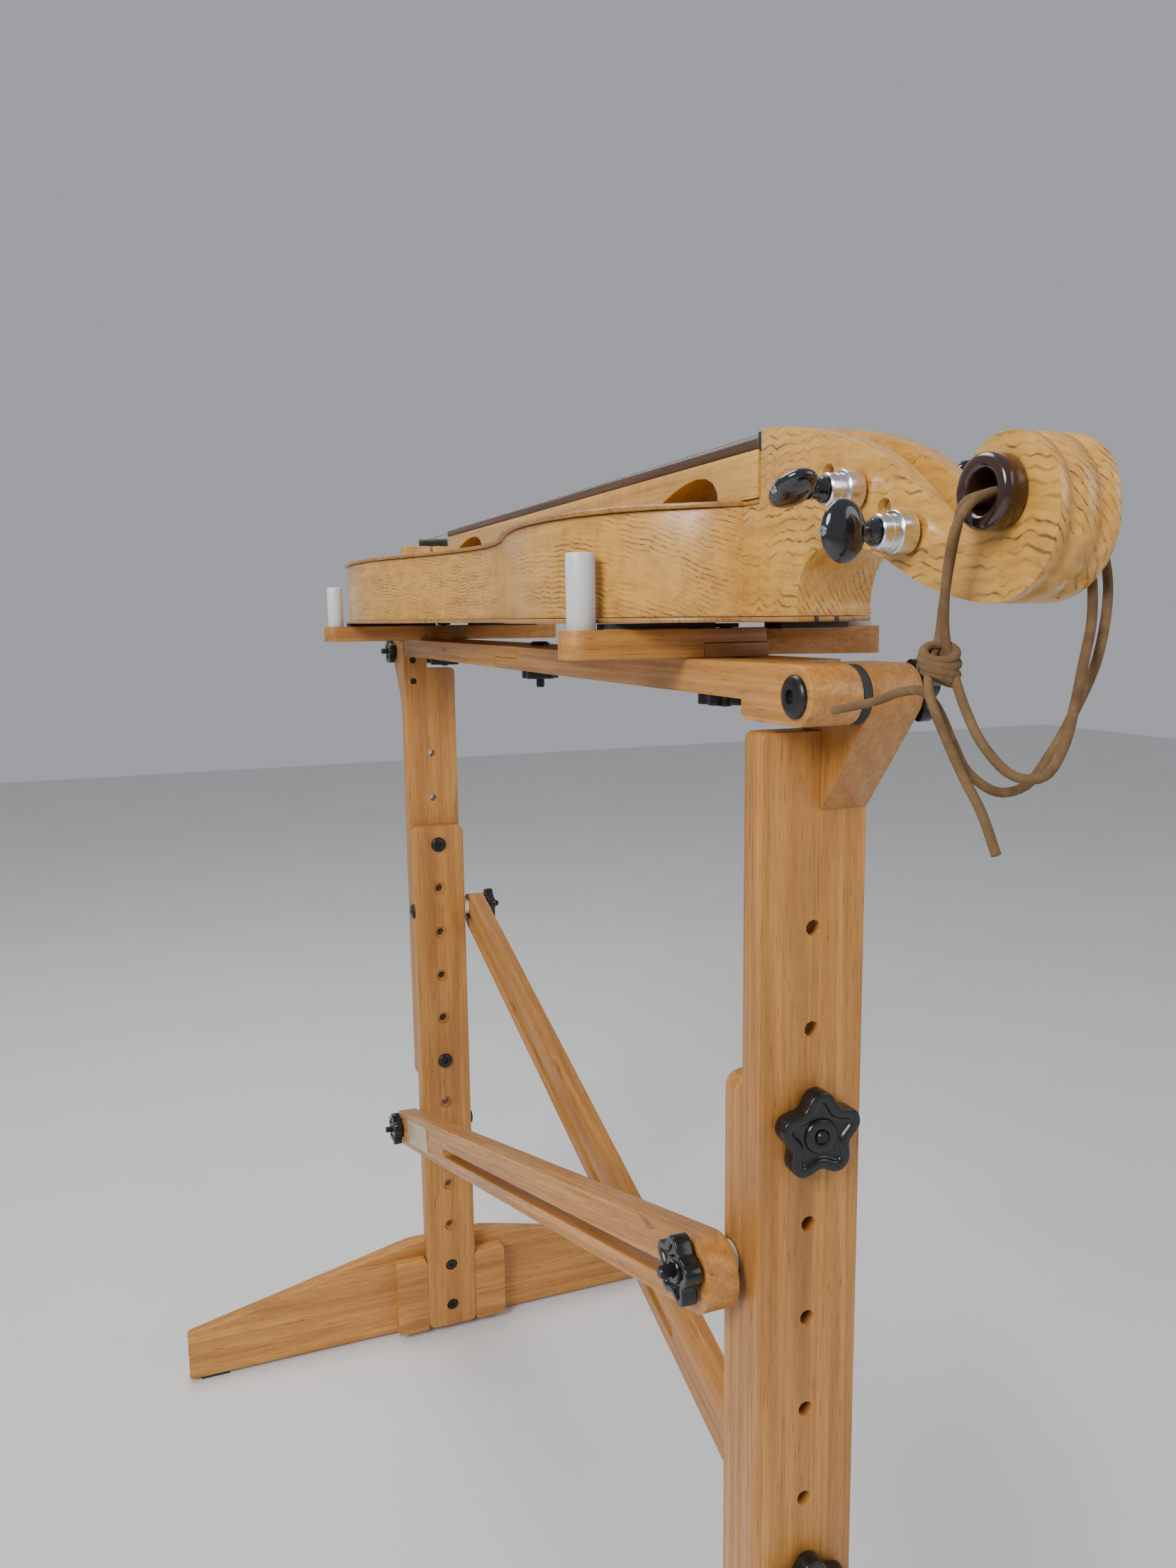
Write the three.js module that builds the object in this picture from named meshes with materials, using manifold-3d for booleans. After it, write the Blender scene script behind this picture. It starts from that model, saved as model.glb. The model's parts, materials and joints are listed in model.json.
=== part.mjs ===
// A mountain dulcimer resting on a knock-down, height-adjustable floor stand.
// Units are millimetres, +Z is up and +X runs along the stand's beam to the scroll end.
import * as THREE from 'three';
import { mergeVertices } from 'three/addons/utils/BufferGeometryUtils.js';
import Module from 'manifold-3d';

const wasm = await Module();
wasm.setup();

// ---------------------------------------------------------------- driving dimensions

// Clearances
const GAP = 0.3; // between pieces that touch
const BOLT_PLAY = 0.8; // radial room of a bolt in its hole

// Boards of the stand
const BOARD = 17.5; // thickness of every board
const SPAN = 813; // over the outer faces of the upper posts
const POST_WIDTH = 57;
const POST_CORNER = 8; // radius of the rounded post corners
const HOLE_PITCH = 50.8;
const UPPER_HOLES = 8;
const TOP_HOLE_DROP = 228.8; // from the beam's top down to the lower post's top hole
const LOWEST_HOLE_ROOM = 34; // the lowest hole is at least this far above the floor
const HOLE_MARGIN = 21; // from the last hole to the board's end
const POST_FLOOR_GAP = 9; // bottom of the lower post above the floor
const ALIGNED_UPPER_HOLE = 3; // upper hole that sits on the topmost lower hole
const UPPER_HEAD_ROOM = 95; // from the top upper hole to the board's top end
const TONGUE_CLEARANCE = 3; // top of the raised half of the upper post below the beam's top
const BRACKET_SCREWS = [20, 43]; // below the tongue's top, driven into the hinge bracket
const BRACKET_SCREW_Y = 18;
const COUNTERBORE_D = 14;
const COUNTERBORE_DEPTH = 3;

// Feet
const PAD_HEIGHT = 4;
const PAD_LENGTH = 30;
const FOOT_LENGTH = 596;
const FOOT_HEIGHT = 107;
const FOOT_TIP_HEIGHT = 49;
const FOOT_FLAT = 88; // level stretch at the middle of the top edge
const CHEEK_WIDTH = 36;
const CHEEK_HEIGHT = 86;

// Beam and end hinges
const BEAM_TOP = 822;
const BEAM_LAP = 30; // half the length of the middle lap joint
const HINGE_REACH = 28; // hinge axis beyond the post's outer face
const HINGE_RADIUS = 13.5;
const HINGE_BLOCK_INSET = 50; // from the hinge axis back to the block under the beam
const HINGE_SPACER = 4;
const BRACKET_DROP = 56.5; // from the hinge axis down to the bracket's point
const SLOT_WIDTH = 8;
const BEAM_SLOT = 100; // length of the slot for the cradle bolt

// Cradles
const CRADLE_X = 315; // crosswise bars from the middle of the stand
const ARM_WIDTH = 24; // the round end is concentric with the peg
const ARM_THICK = 15;
const ARM_LAP = 18.5; // half the length of the lap between the two arms
const ARM_TRAVEL = 8; // each arm slides out this far on its slot
const PAD_THICK = 3;
const PEG_DIAMETER = 15.2;
const PEG_HEIGHT = 39;
const PAD_INSET = 24; // from the arm's end to the pad
const NEAR_REACH = 95; // from the middle to the arm's end
const FAR_REACH = 123.5;

// Braces
const BRACE_WIDTH = 38;
const BRACE_LOW = 6.5; // hole pitches below the topmost lower hole
const BRACE_HIGH = 1.5;
const BRACE_SPACER = 5.2;
const BRACE_SPACER_D = 17;
const BRACE_SLOT_START = 221; // from the low pivot to the slot
const BRACE_SLOT_DROP = 4.5; // the slot below the brace's middle line
const BRACE_NOTCH_RISE = 5; // the high bolt's seat above the middle line

// Bolts and star knobs
const BOLT_D = 6.4;
const HEAD_D = 16.4;
const HEAD_THICK = 3;
const CRADLE_HEAD_D = 14;
const CRADLE_HEAD_THICK = 2.2;
const LEG_KNOB_D = 45;
const BRACE_KNOB_D = 36;
const BEAM_KNOB_D = 30;
const KNOB_THICK = 11;
const BEAM_KNOB_THICK = 8;
const STUD_PROUD = 7; // bolt end beyond its knob
const LEG_STUD_PROUD = 1.2;

// Dulcimer
const BODY_DEPTH = 57.5; // over the back and the top plates
const PLATE = 2.6;
const RIB = 3;
const OVERHANG = 3; // plates beyond the ribs
const HEAD_WIDTH = 39;
const SCROLL_WIDTH = 26;
const HEEL_X = 369; // where the ribs meet the heel
const HEEL_END = 420;
const TAIL_X = -410;
const NUT_X = 383;
const SCALE_LENGTH = 686;
const BOARD_END_X = -211; // far end of the fretboard
const FRETBOARD_HEIGHT = 22;
const FRETBOARD_TOP = 5; // dark overlay
const EYE_X = 542;
const EYE_RISE = 44; // above the underside of the back
const EYE_HOLE_D = 15;
const EYE_RING_D = 26.5;
const EYE_RING_PROUD = 10;
const TUNER_D = 16.5;
const TUNER_LENGTH = 15;
const BUTTON_LENGTH = 19; // along the tuner's axis
const BUTTON_WIDTH = 24;
const BUTTON_THICK = 9.5;

// Lace
const LACE_D = 3.4;
const LACE_STEPS = 80;

// ---------------------------------------------------------------- derived places

const OUTER = SPAN / 2;
const UPPER_IN = OUTER - BOARD;
const LOWER_OUT = UPPER_IN - GAP;
const LOWER_IN = LOWER_OUT - BOARD;
const HALF_POST = POST_WIDTH / 2;
const TOP_LOWER_HOLE = BEAM_TOP - TOP_HOLE_DROP;
const LOWER_HOLES = Math.floor((TOP_LOWER_HOLE - LOWEST_HOLE_ROOM) / HOLE_PITCH) + 1;
const LOWEST_HOLE = TOP_LOWER_HOLE - (LOWER_HOLES - 1) * HOLE_PITCH;
const TOP_UPPER_HOLE = TOP_LOWER_HOLE + (ALIGNED_UPPER_HOLE - 1) * HOLE_PITCH;
const BEAM_LOW = BEAM_TOP - BOARD;
const HINGE_X = OUTER + HINGE_REACH;
const HINGE_Z = BEAM_TOP - HINGE_RADIUS;
const ARM_LOW = BEAM_TOP + GAP;
const ARM_TOP = ARM_LOW + ARM_THICK;
const BODY_LOW = ARM_TOP + PAD_THICK + GAP;
const BODY_TOP = BODY_LOW + BODY_DEPTH;
const HOLE_R = BOLT_D / 2 + BOLT_PLAY;
const PEG_INSET = ARM_WIDTH / 2; // from the arm's end to the peg's centre

// ---------------------------------------------------------------- finishes

const CHERRY = { color: 0xc8853c, roughness: 0.45, metalness: 0 };
const CHESTNUT = { color: 0xd6a04e, roughness: 0.4, metalness: 0 };
const WALNUT = { color: 0x6b3f24, roughness: 0.5, metalness: 0 };
const BLACK_PLASTIC = { color: 0x0c0c0d, roughness: 0.2, metalness: 0 };
const RUBBER = { color: 0x1b1c1e, roughness: 0.8, metalness: 0 };
const IVORY_PLASTIC = { color: 0xe9e6d4, roughness: 0.4, metalness: 0 };
const ACRYLIC = { color: 0xe8e9ec, roughness: 0.3, metalness: 0 };
const EBONY = { color: 0x18181a, roughness: 0.45, metalness: 0 };
const ROSEWOOD = { color: 0x2e1512, roughness: 0.3, metalness: 0 };
const ALUMINIUM = { color: 0xc9cbce, roughness: 0.3, metalness: 1 };
const SUEDE = { color: 0x7a5230, roughness: 0.95, metalness: 0 };

// ---------------------------------------------------------------- solid helpers

/** Turns a closed three.js geometry into a solid that can be cut and joined. */
function toSolid(geometry) {
  const bare = geometry.clone();
  bare.deleteAttribute('normal');
  bare.deleteAttribute('uv');
  const merged = mergeVertices(bare, 1e-4);
  return new wasm.Manifold(new wasm.Mesh({
    numProp: 3,
    vertProperties: new Float32Array(merged.attributes.position.array),
    triVerts: new Uint32Array(merged.index.array),
  }));
}

/** Turns a solid back into a geometry with flat normals. */
function toGeometry(solid) {
  const mesh = solid.getMesh();
  const geometry = new THREE.BufferGeometry();
  geometry.setAttribute('position', new THREE.BufferAttribute(mesh.vertProperties, 3));
  geometry.setIndex(new THREE.BufferAttribute(mesh.triVerts, 1));
  const flat = geometry.toNonIndexed();
  flat.computeVertexNormals();
  return flat;
}

function joined(...solids) {
  return solids.reduce((whole, solid) => whole.add(solid));
}

function cut(solid, ...tools) {
  return tools.reduce((left, tool) => left.subtract(tool), solid);
}

/** A box between two opposite corners. */
function block([x0, y0, z0], [x1, y1, z1]) {
  const geometry = new THREE.BoxGeometry(x1 - x0, y1 - y0, z1 - z0);
  geometry.translate((x0 + x1) / 2, (y0 + y1) / 2, (z0 + z1) / 2);
  return toSolid(geometry);
}

const AXES = {
  x: new THREE.Matrix4().makeRotationZ(-Math.PI / 2),
  y: new THREE.Matrix4(),
  z: new THREE.Matrix4().makeRotationX(Math.PI / 2),
};

/** A round bar along one axis, from one end to the other. */
function rod(axis, [x, y, z], from, to, radius, sides = 12) {
  const geometry = new THREE.CylinderGeometry(radius, radius, to - from, sides);
  geometry.applyMatrix4(AXES[axis]);
  const middle = { x, y, z };
  middle[axis] = (from + to) / 2;
  geometry.translate(middle.x, middle.y, middle.z);
  return toSolid(geometry);
}

// A profile drawn in one plane is pushed along the third axis.
const PLANES = {
  xz: new THREE.Matrix4().makeBasis(
    new THREE.Vector3(1, 0, 0), new THREE.Vector3(0, 0, 1), new THREE.Vector3(0, -1, 0)),
  yz: new THREE.Matrix4().makeBasis(
    new THREE.Vector3(0, 1, 0), new THREE.Vector3(0, 0, 1), new THREE.Vector3(1, 0, 0)),
  xy: new THREE.Matrix4(),
};

/** Extrudes a shape from one place to another along the axis that its plane leaves free. */
function prism(shape, plane, from, to, curveSegments = 5) {
  const geometry = new THREE.ExtrudeGeometry(shape, { depth: to - from, bevelEnabled: false, curveSegments });
  geometry.applyMatrix4(PLANES[plane]);
  if (plane === 'xz') geometry.translate(0, to, 0);
  if (plane === 'yz') geometry.translate(from, 0, 0);
  if (plane === 'xy') geometry.translate(0, 0, from);
  return toSolid(geometry);
}

/** A closed shape through corner points. */
function polygon(points) {
  return new THREE.Shape(points.map(([u, v]) => new THREE.Vector2(u, v)));
}

/** A rectangle whose four corners are rounded. */
function roundedRect(u0, v0, u1, v1, radius) {
  const shape = new THREE.Shape();
  shape.moveTo(u0 + radius, v0);
  shape.lineTo(u1 - radius, v0);
  shape.absarc(u1 - radius, v0 + radius, radius, -Math.PI / 2, 0, false);
  shape.lineTo(u1, v1 - radius);
  shape.absarc(u1 - radius, v1 - radius, radius, 0, Math.PI / 2, false);
  shape.lineTo(u0 + radius, v1);
  shape.absarc(u0 + radius, v1 - radius, radius, Math.PI / 2, Math.PI, false);
  shape.lineTo(u0, v0 + radius);
  shape.absarc(u0 + radius, v0 + radius, radius, Math.PI, Math.PI * 1.5, false);
  return shape;
}

/** A straight-sided slot with round ends, between two end centres. */
function stadium([u0, v0], [u1, v1], radius) {
  const angle = Math.atan2(v1 - v0, u1 - u0);
  const shape = new THREE.Shape();
  shape.absarc(u1, v1, radius, angle - Math.PI / 2, angle + Math.PI / 2, false);
  shape.absarc(u0, v0, radius, angle + Math.PI / 2, angle + Math.PI * 1.5, false);
  return shape;
}

/** Turns a profile of radii and heights into a solid about one axis, base at the given place. */
function turned(profile, axis, direction, [x, y, z], sides = 16) {
  const points = profile.map(([radius, height]) => new THREE.Vector2(radius, height));
  const geometry = new THREE.LatheGeometry(points, sides);
  const aim = new THREE.Vector3();
  aim[axis] = direction;
  const turn = new THREE.Quaternion().setFromUnitVectors(new THREE.Vector3(0, 1, 0), aim);
  geometry.applyQuaternion(turn);
  geometry.translate(x, y, z);
  return toSolid(geometry);
}

/** Makes the named mesh of one piece. */
function piece(name, solid, finish) {
  const geometry = solid.isBufferGeometry ? solid : toGeometry(solid);
  const mesh = new THREE.Mesh(geometry, new THREE.MeshStandardMaterial(finish));
  mesh.name = name;
  return mesh;
}

// ---------------------------------------------------------------- bolts and knobs

/** A five-lobed outline about the origin, one lobe pointing along +v. */
function starShape(diameter) {
  const lobes = 5;
  const steps = 6;
  const outer = diameter / 2;
  const dip = 0.13 * diameter;
  const points = [];
  for (let i = 0; i < lobes * steps; i += 1) {
    const angle = (i / (lobes * steps)) * Math.PI * 2;
    const radius = outer - dip * (0.5 - 0.5 * Math.cos(lobes * angle));
    points.push([radius * Math.sin(angle), radius * Math.cos(angle)]);
  }
  return polygon(points.reverse());
}

/**
 * A bolt with a button head at one end and a star knob at the other, built along +Z:
 * the head's inner face is at zero and the knob's inner face is at the grip's length.
 */
function clampBolt(grip, knobDiameter, knobThick, headDiameter, proud = STUD_PROUD) {
  const head = turned([
    [0, -HEAD_THICK], [headDiameter * 0.32, -HEAD_THICK], [headDiameter / 2, -HEAD_THICK * 0.35],
    [headDiameter / 2, 0], [0, 0],
  ], 'z', 1, [0, 0, 0], 14);
  const shank = rod('z', [0, 0, 0], -HEAD_THICK / 2, grip + knobThick + proud, BOLT_D / 2, 10);
  const collar = rod('z', [0, 0, 0], grip, grip + knobThick / 2, knobDiameter * 0.3, 16);
  const star = prism(starShape(knobDiameter), 'xy', grip + 2, grip + knobThick);
  return joined(head, shank, collar, star);
}

/** Places a clamp bolt with its knob pointing along the given direction. */
function placedBolt(name, bolt, origin, direction, lobe) {
  const side = new THREE.Vector3().crossVectors(lobe, direction);
  const basis = new THREE.Matrix4().makeBasis(side, lobe, direction);
  basis.setPosition(...origin);
  const geometry = toGeometry(bolt);
  geometry.applyMatrix4(basis);
  return piece(name, geometry, BLACK_PLASTIC);
}

// ---------------------------------------------------------------- posts and feet

function footSolid() {
  const low = PAD_HEIGHT;
  const half = FOOT_LENGTH / 2;
  const profile = polygon([
    [-half, low + 2], [-half + 2, low], [half - 2, low], [half, low + 2],
    [half, low + FOOT_TIP_HEIGHT - 2], [half - 3, low + FOOT_TIP_HEIGHT + 0.7],
    [FOOT_FLAT / 2, low + FOOT_HEIGHT], [-FOOT_FLAT / 2, low + FOOT_HEIGHT],
    [-half + 3, low + FOOT_TIP_HEIGHT + 0.7], [-half, low + FOOT_TIP_HEIGHT - 2],
  ]);
  const solids = [prism(profile, 'yz', UPPER_IN, OUTER)];
  for (const side of [-1, 1]) {
    const from = side * (HALF_POST + GAP);
    const to = from + side * CHEEK_WIDTH;
    const cheek = roundedRect(Math.min(from, to), POST_FLOOR_GAP, Math.max(from, to), POST_FLOOR_GAP + CHEEK_HEIGHT, 3);
    solids.push(prism(cheek, 'yz', LOWER_IN, UPPER_IN + 1, 3));
    const padOuter = side * (half - 12);
    const padInner = padOuter - side * PAD_LENGTH;
    solids.push(block(
      [UPPER_IN + 2, Math.min(padOuter, padInner), 0],
      [OUTER - 2, Math.max(padOuter, padInner), PAD_HEIGHT + 1]));
  }
  const foot = joined(...solids);
  const bolts = [0, 1].map((i) => rod('x', [0, 0, LOWEST_HOLE + i * HOLE_PITCH], UPPER_IN - 1, OUTER + 1, HOLE_R, 10));
  return cut(foot, ...bolts);
}

function lowerPostSolid() {
  const bottom = POST_FLOOR_GAP;
  const top = TOP_LOWER_HOLE + HOLE_MARGIN;
  const board = prism(roundedRect(-HALF_POST, bottom, HALF_POST, top, POST_CORNER), 'yz', LOWER_IN, LOWER_OUT, 4);
  const tools = [];
  for (let i = 0; i < LOWER_HOLES; i += 1) {
    const height = LOWEST_HOLE + i * HOLE_PITCH;
    tools.push(rod('x', [0, 0, height], LOWER_IN - 1, LOWER_OUT + 1, HOLE_R, 10));
    tools.push(rod('x', [0, 0, height], LOWER_IN - 1, LOWER_IN + COUNTERBORE_DEPTH, COUNTERBORE_D / 2, 12));
  }
  for (const pitches of [BRACE_LOW, BRACE_HIGH]) {
    const height = TOP_LOWER_HOLE - pitches * HOLE_PITCH;
    tools.push(rod('y', [(LOWER_IN + LOWER_OUT) / 2, 0, height], -HALF_POST - 1, HALF_POST + 1, HOLE_R, 10));
  }
  return cut(board, ...tools);
}

function upperPostSolid() {
  const bottom = TOP_UPPER_HOLE - (UPPER_HOLES - 1) * HOLE_PITCH - HOLE_MARGIN;
  const top = TOP_UPPER_HOLE + UPPER_HEAD_ROOM;
  const board = prism(roundedRect(-HALF_POST, bottom, HALF_POST, top, 4), 'yz', UPPER_IN, OUTER, 3);
  const tongueTop = BEAM_TOP - TONGUE_CLEARANCE;
  const tongueFrom = HINGE_SPACER / 2 + GAP;
  const tongue = prism(roundedRect(tongueFrom, top - 10, HALF_POST, tongueTop, 3), 'yz', UPPER_IN, OUTER, 3);
  const tools = [];
  for (const drop of BRACKET_SCREWS) {
    const place = [0, BRACKET_SCREW_Y, tongueTop - drop];
    tools.push(rod('x', place, UPPER_IN - 1, UPPER_IN + 3, 3.6, 10));
  }
  for (let i = 0; i < UPPER_HOLES; i += 1) {
    const height = TOP_UPPER_HOLE - i * HOLE_PITCH;
    tools.push(rod('x', [0, 0, height], UPPER_IN - 1, OUTER + 1, HOLE_R, 10));
  }
  return cut(joined(board, tongue), ...tools);
}

// ---------------------------------------------------------------- beam and hinge

/** One half of the beam; the two halves differ in which tongue of the lap they hold. */
function beamHalfSolid(tongueOnTop) {
  const blockX = HINGE_X - HINGE_BLOCK_INSET;
  const notchX = blockX - 2;
  const middle = (BEAM_TOP + BEAM_LOW) / 2;
  const barrelTo = -HINGE_SPACER / 2 - GAP;
  const bar = block([BEAM_LAP + GAP / 2, -HALF_POST, BEAM_LOW], [notchX, HALF_POST, BEAM_TOP]);
  const tongueZ = tongueOnTop ? [middle + GAP / 2, BEAM_TOP] : [BEAM_LOW, middle - GAP / 2];
  const tongue = block([-BEAM_LAP + GAP / 2, -HALF_POST, tongueZ[0]], [BEAM_LAP + 1, HALF_POST, tongueZ[1]]);
  const corner = 5;
  const profile = new THREE.Shape();
  profile.moveTo(notchX - 1, BEAM_TOP);
  profile.lineTo(notchX - 1, BEAM_LOW);
  profile.lineTo(blockX, BEAM_LOW);
  profile.lineTo(blockX, HINGE_Z - HINGE_RADIUS + corner);
  profile.absarc(blockX + corner, HINGE_Z - HINGE_RADIUS + corner, corner, Math.PI, Math.PI * 1.5, false);
  profile.absarc(HINGE_X, HINGE_Z, HINGE_RADIUS, -Math.PI / 2, Math.PI / 2, false);
  const hingeEnd = prism(profile, 'xz', -HALF_POST, barrelTo, 7);
  const slot = stadium([CRADLE_X - BEAM_SLOT + 40, 0], [CRADLE_X + 40, 0], SLOT_WIDTH / 2);
  return cut(
    joined(bar, tongue, hingeEnd),
    prism(slot, 'xy', BEAM_LOW - 1, BEAM_TOP + 1, 5),
    rod('z', [0, 0, 0], BEAM_LOW - 1, BEAM_TOP + 1, HOLE_R, 10),
    rod('y', [HINGE_X, 0, HINGE_Z], -HALF_POST - 1, HALF_POST, HOLE_R, 10));
}

function bracketSolid() {
  const inner = OUTER + GAP;
  const profile = new THREE.Shape();
  const slopeX = HINGE_X + HINGE_RADIUS * Math.cos(-0.7);
  const slopeZ = HINGE_Z + HINGE_RADIUS * Math.sin(-0.7);
  profile.moveTo(inner, BEAM_TOP - 2);
  profile.lineTo(inner, HINGE_Z - BRACKET_DROP);
  profile.lineTo(slopeX, slopeZ);
  profile.absarc(HINGE_X, HINGE_Z, HINGE_RADIUS, -0.7, Math.PI / 2, false);
  profile.lineTo(inner + 2, BEAM_TOP);
  const wedge = prism(profile, 'xz', HINGE_SPACER / 2 + GAP, HALF_POST, 7);
  return cut(wedge, rod('y', [HINGE_X, 0, HINGE_Z], 0, HALF_POST + 1, HOLE_R, 10));
}

function ringSolid(axis, place, from, to, outerR, sides = 20) {
  return cut(rod(axis, place, from, to, outerR, sides), rod(axis, place, from - 1, to + 1, HOLE_R, 10));
}

// ---------------------------------------------------------------- cradle and brace

/** The cradle arm on the -Y side; its tongue is the upper or the lower half of the lap. */
function armSolid(reach, tongueOnTop) {
  const half = ARM_WIDTH / 2;
  const middle = (ARM_LOW + ARM_TOP) / 2;
  const body = new THREE.Shape();
  body.moveTo(CRADLE_X - half, -ARM_LAP - GAP);
  body.absarc(CRADLE_X, -reach + half, half, Math.PI, Math.PI * 2, false);
  body.lineTo(CRADLE_X + half, -ARM_LAP - GAP);
  const span = tongueOnTop ? [middle + GAP / 2, ARM_TOP] : [ARM_LOW, middle - GAP / 2];
  const tongue = block([CRADLE_X - half, -ARM_LAP - 1, span[0]], [CRADLE_X + half, ARM_LAP - GAP, span[1]]);
  const padX = half - 3;
  const pad = block(
    [CRADLE_X - padX, -reach + PAD_INSET, ARM_TOP - 1],
    [CRADLE_X + padX, tongueOnTop ? -ARM_LAP + 8 : -ARM_LAP - 10, ARM_TOP + PAD_THICK]);
  const slot = stadium([CRADLE_X, -1], [CRADLE_X, ARM_TRAVEL + 1], SLOT_WIDTH / 2);
  const padHole = stadium([CRADLE_X, -1], [CRADLE_X, ARM_TRAVEL + 1], CRADLE_HEAD_D / 2 + 1);
  const socket = rod('z', [CRADLE_X, -reach + PEG_INSET, 0], ARM_TOP - 6, ARM_TOP + 1, PEG_DIAMETER / 2 + GAP, 12);
  return cut(
    joined(prism(body, 'xy', ARM_LOW, ARM_TOP, 8), tongue, pad),
    prism(slot, 'xy', ARM_LOW - 1, ARM_TOP + PAD_THICK + 1, 5),
    prism(padHole, 'xy', ARM_TOP, ARM_TOP + PAD_THICK + 1, 5),
    socket);
}

/** A brace from the far post's low pivot to the near post's high bolt, seated in a notch of its slot. */
function braceSolid() {
  const pivotX = (LOWER_IN + LOWER_OUT) / 2;
  const low = TOP_LOWER_HOLE - BRACE_LOW * HOLE_PITCH;
  const high = TOP_LOWER_HOLE - BRACE_HIGH * HOLE_PITCH;
  const reach = Math.hypot(high - low, 2 * pivotX);
  const boltAlong = Math.sqrt(reach ** 2 - BRACE_NOTCH_RISE ** 2);
  const angle = Math.atan2(high - low, 2 * pivotX) - Math.asin(BRACE_NOTCH_RISE / reach);
  const at = (along, across) => [
    -pivotX + along * Math.cos(angle) - across * Math.sin(angle),
    low + along * Math.sin(angle) + across * Math.cos(angle),
  ];
  const slotEnd = at(boltAlong, -BRACE_SLOT_DROP);
  const slot = stadium(at(BRACE_SLOT_START, -BRACE_SLOT_DROP), slotEnd, SLOT_WIDTH / 2);
  const notch = stadium(slotEnd, at(boltAlong, BRACE_NOTCH_RISE), SLOT_WIDTH / 2);
  const outline = stadium([-pivotX, low], at(boltAlong - 2, 0), BRACE_WIDTH / 2);
  const from = -HALF_POST - BRACE_SPACER - 2 * GAP - BOARD;
  return cut(
    prism(outline, 'xz', from, from + BOARD, 8),
    prism(slot, 'xz', from - 1, from + BOARD + 1, 5),
    prism(notch, 'xz', from - 1, from + BOARD + 1, 5),
    rod('y', [-pivotX, 0, low], from - 1, from + BOARD + 1, HOLE_R, 10));
}

// ---------------------------------------------------------------- one end of the stand

const UP = new THREE.Vector3(0, 0, 1);

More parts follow.
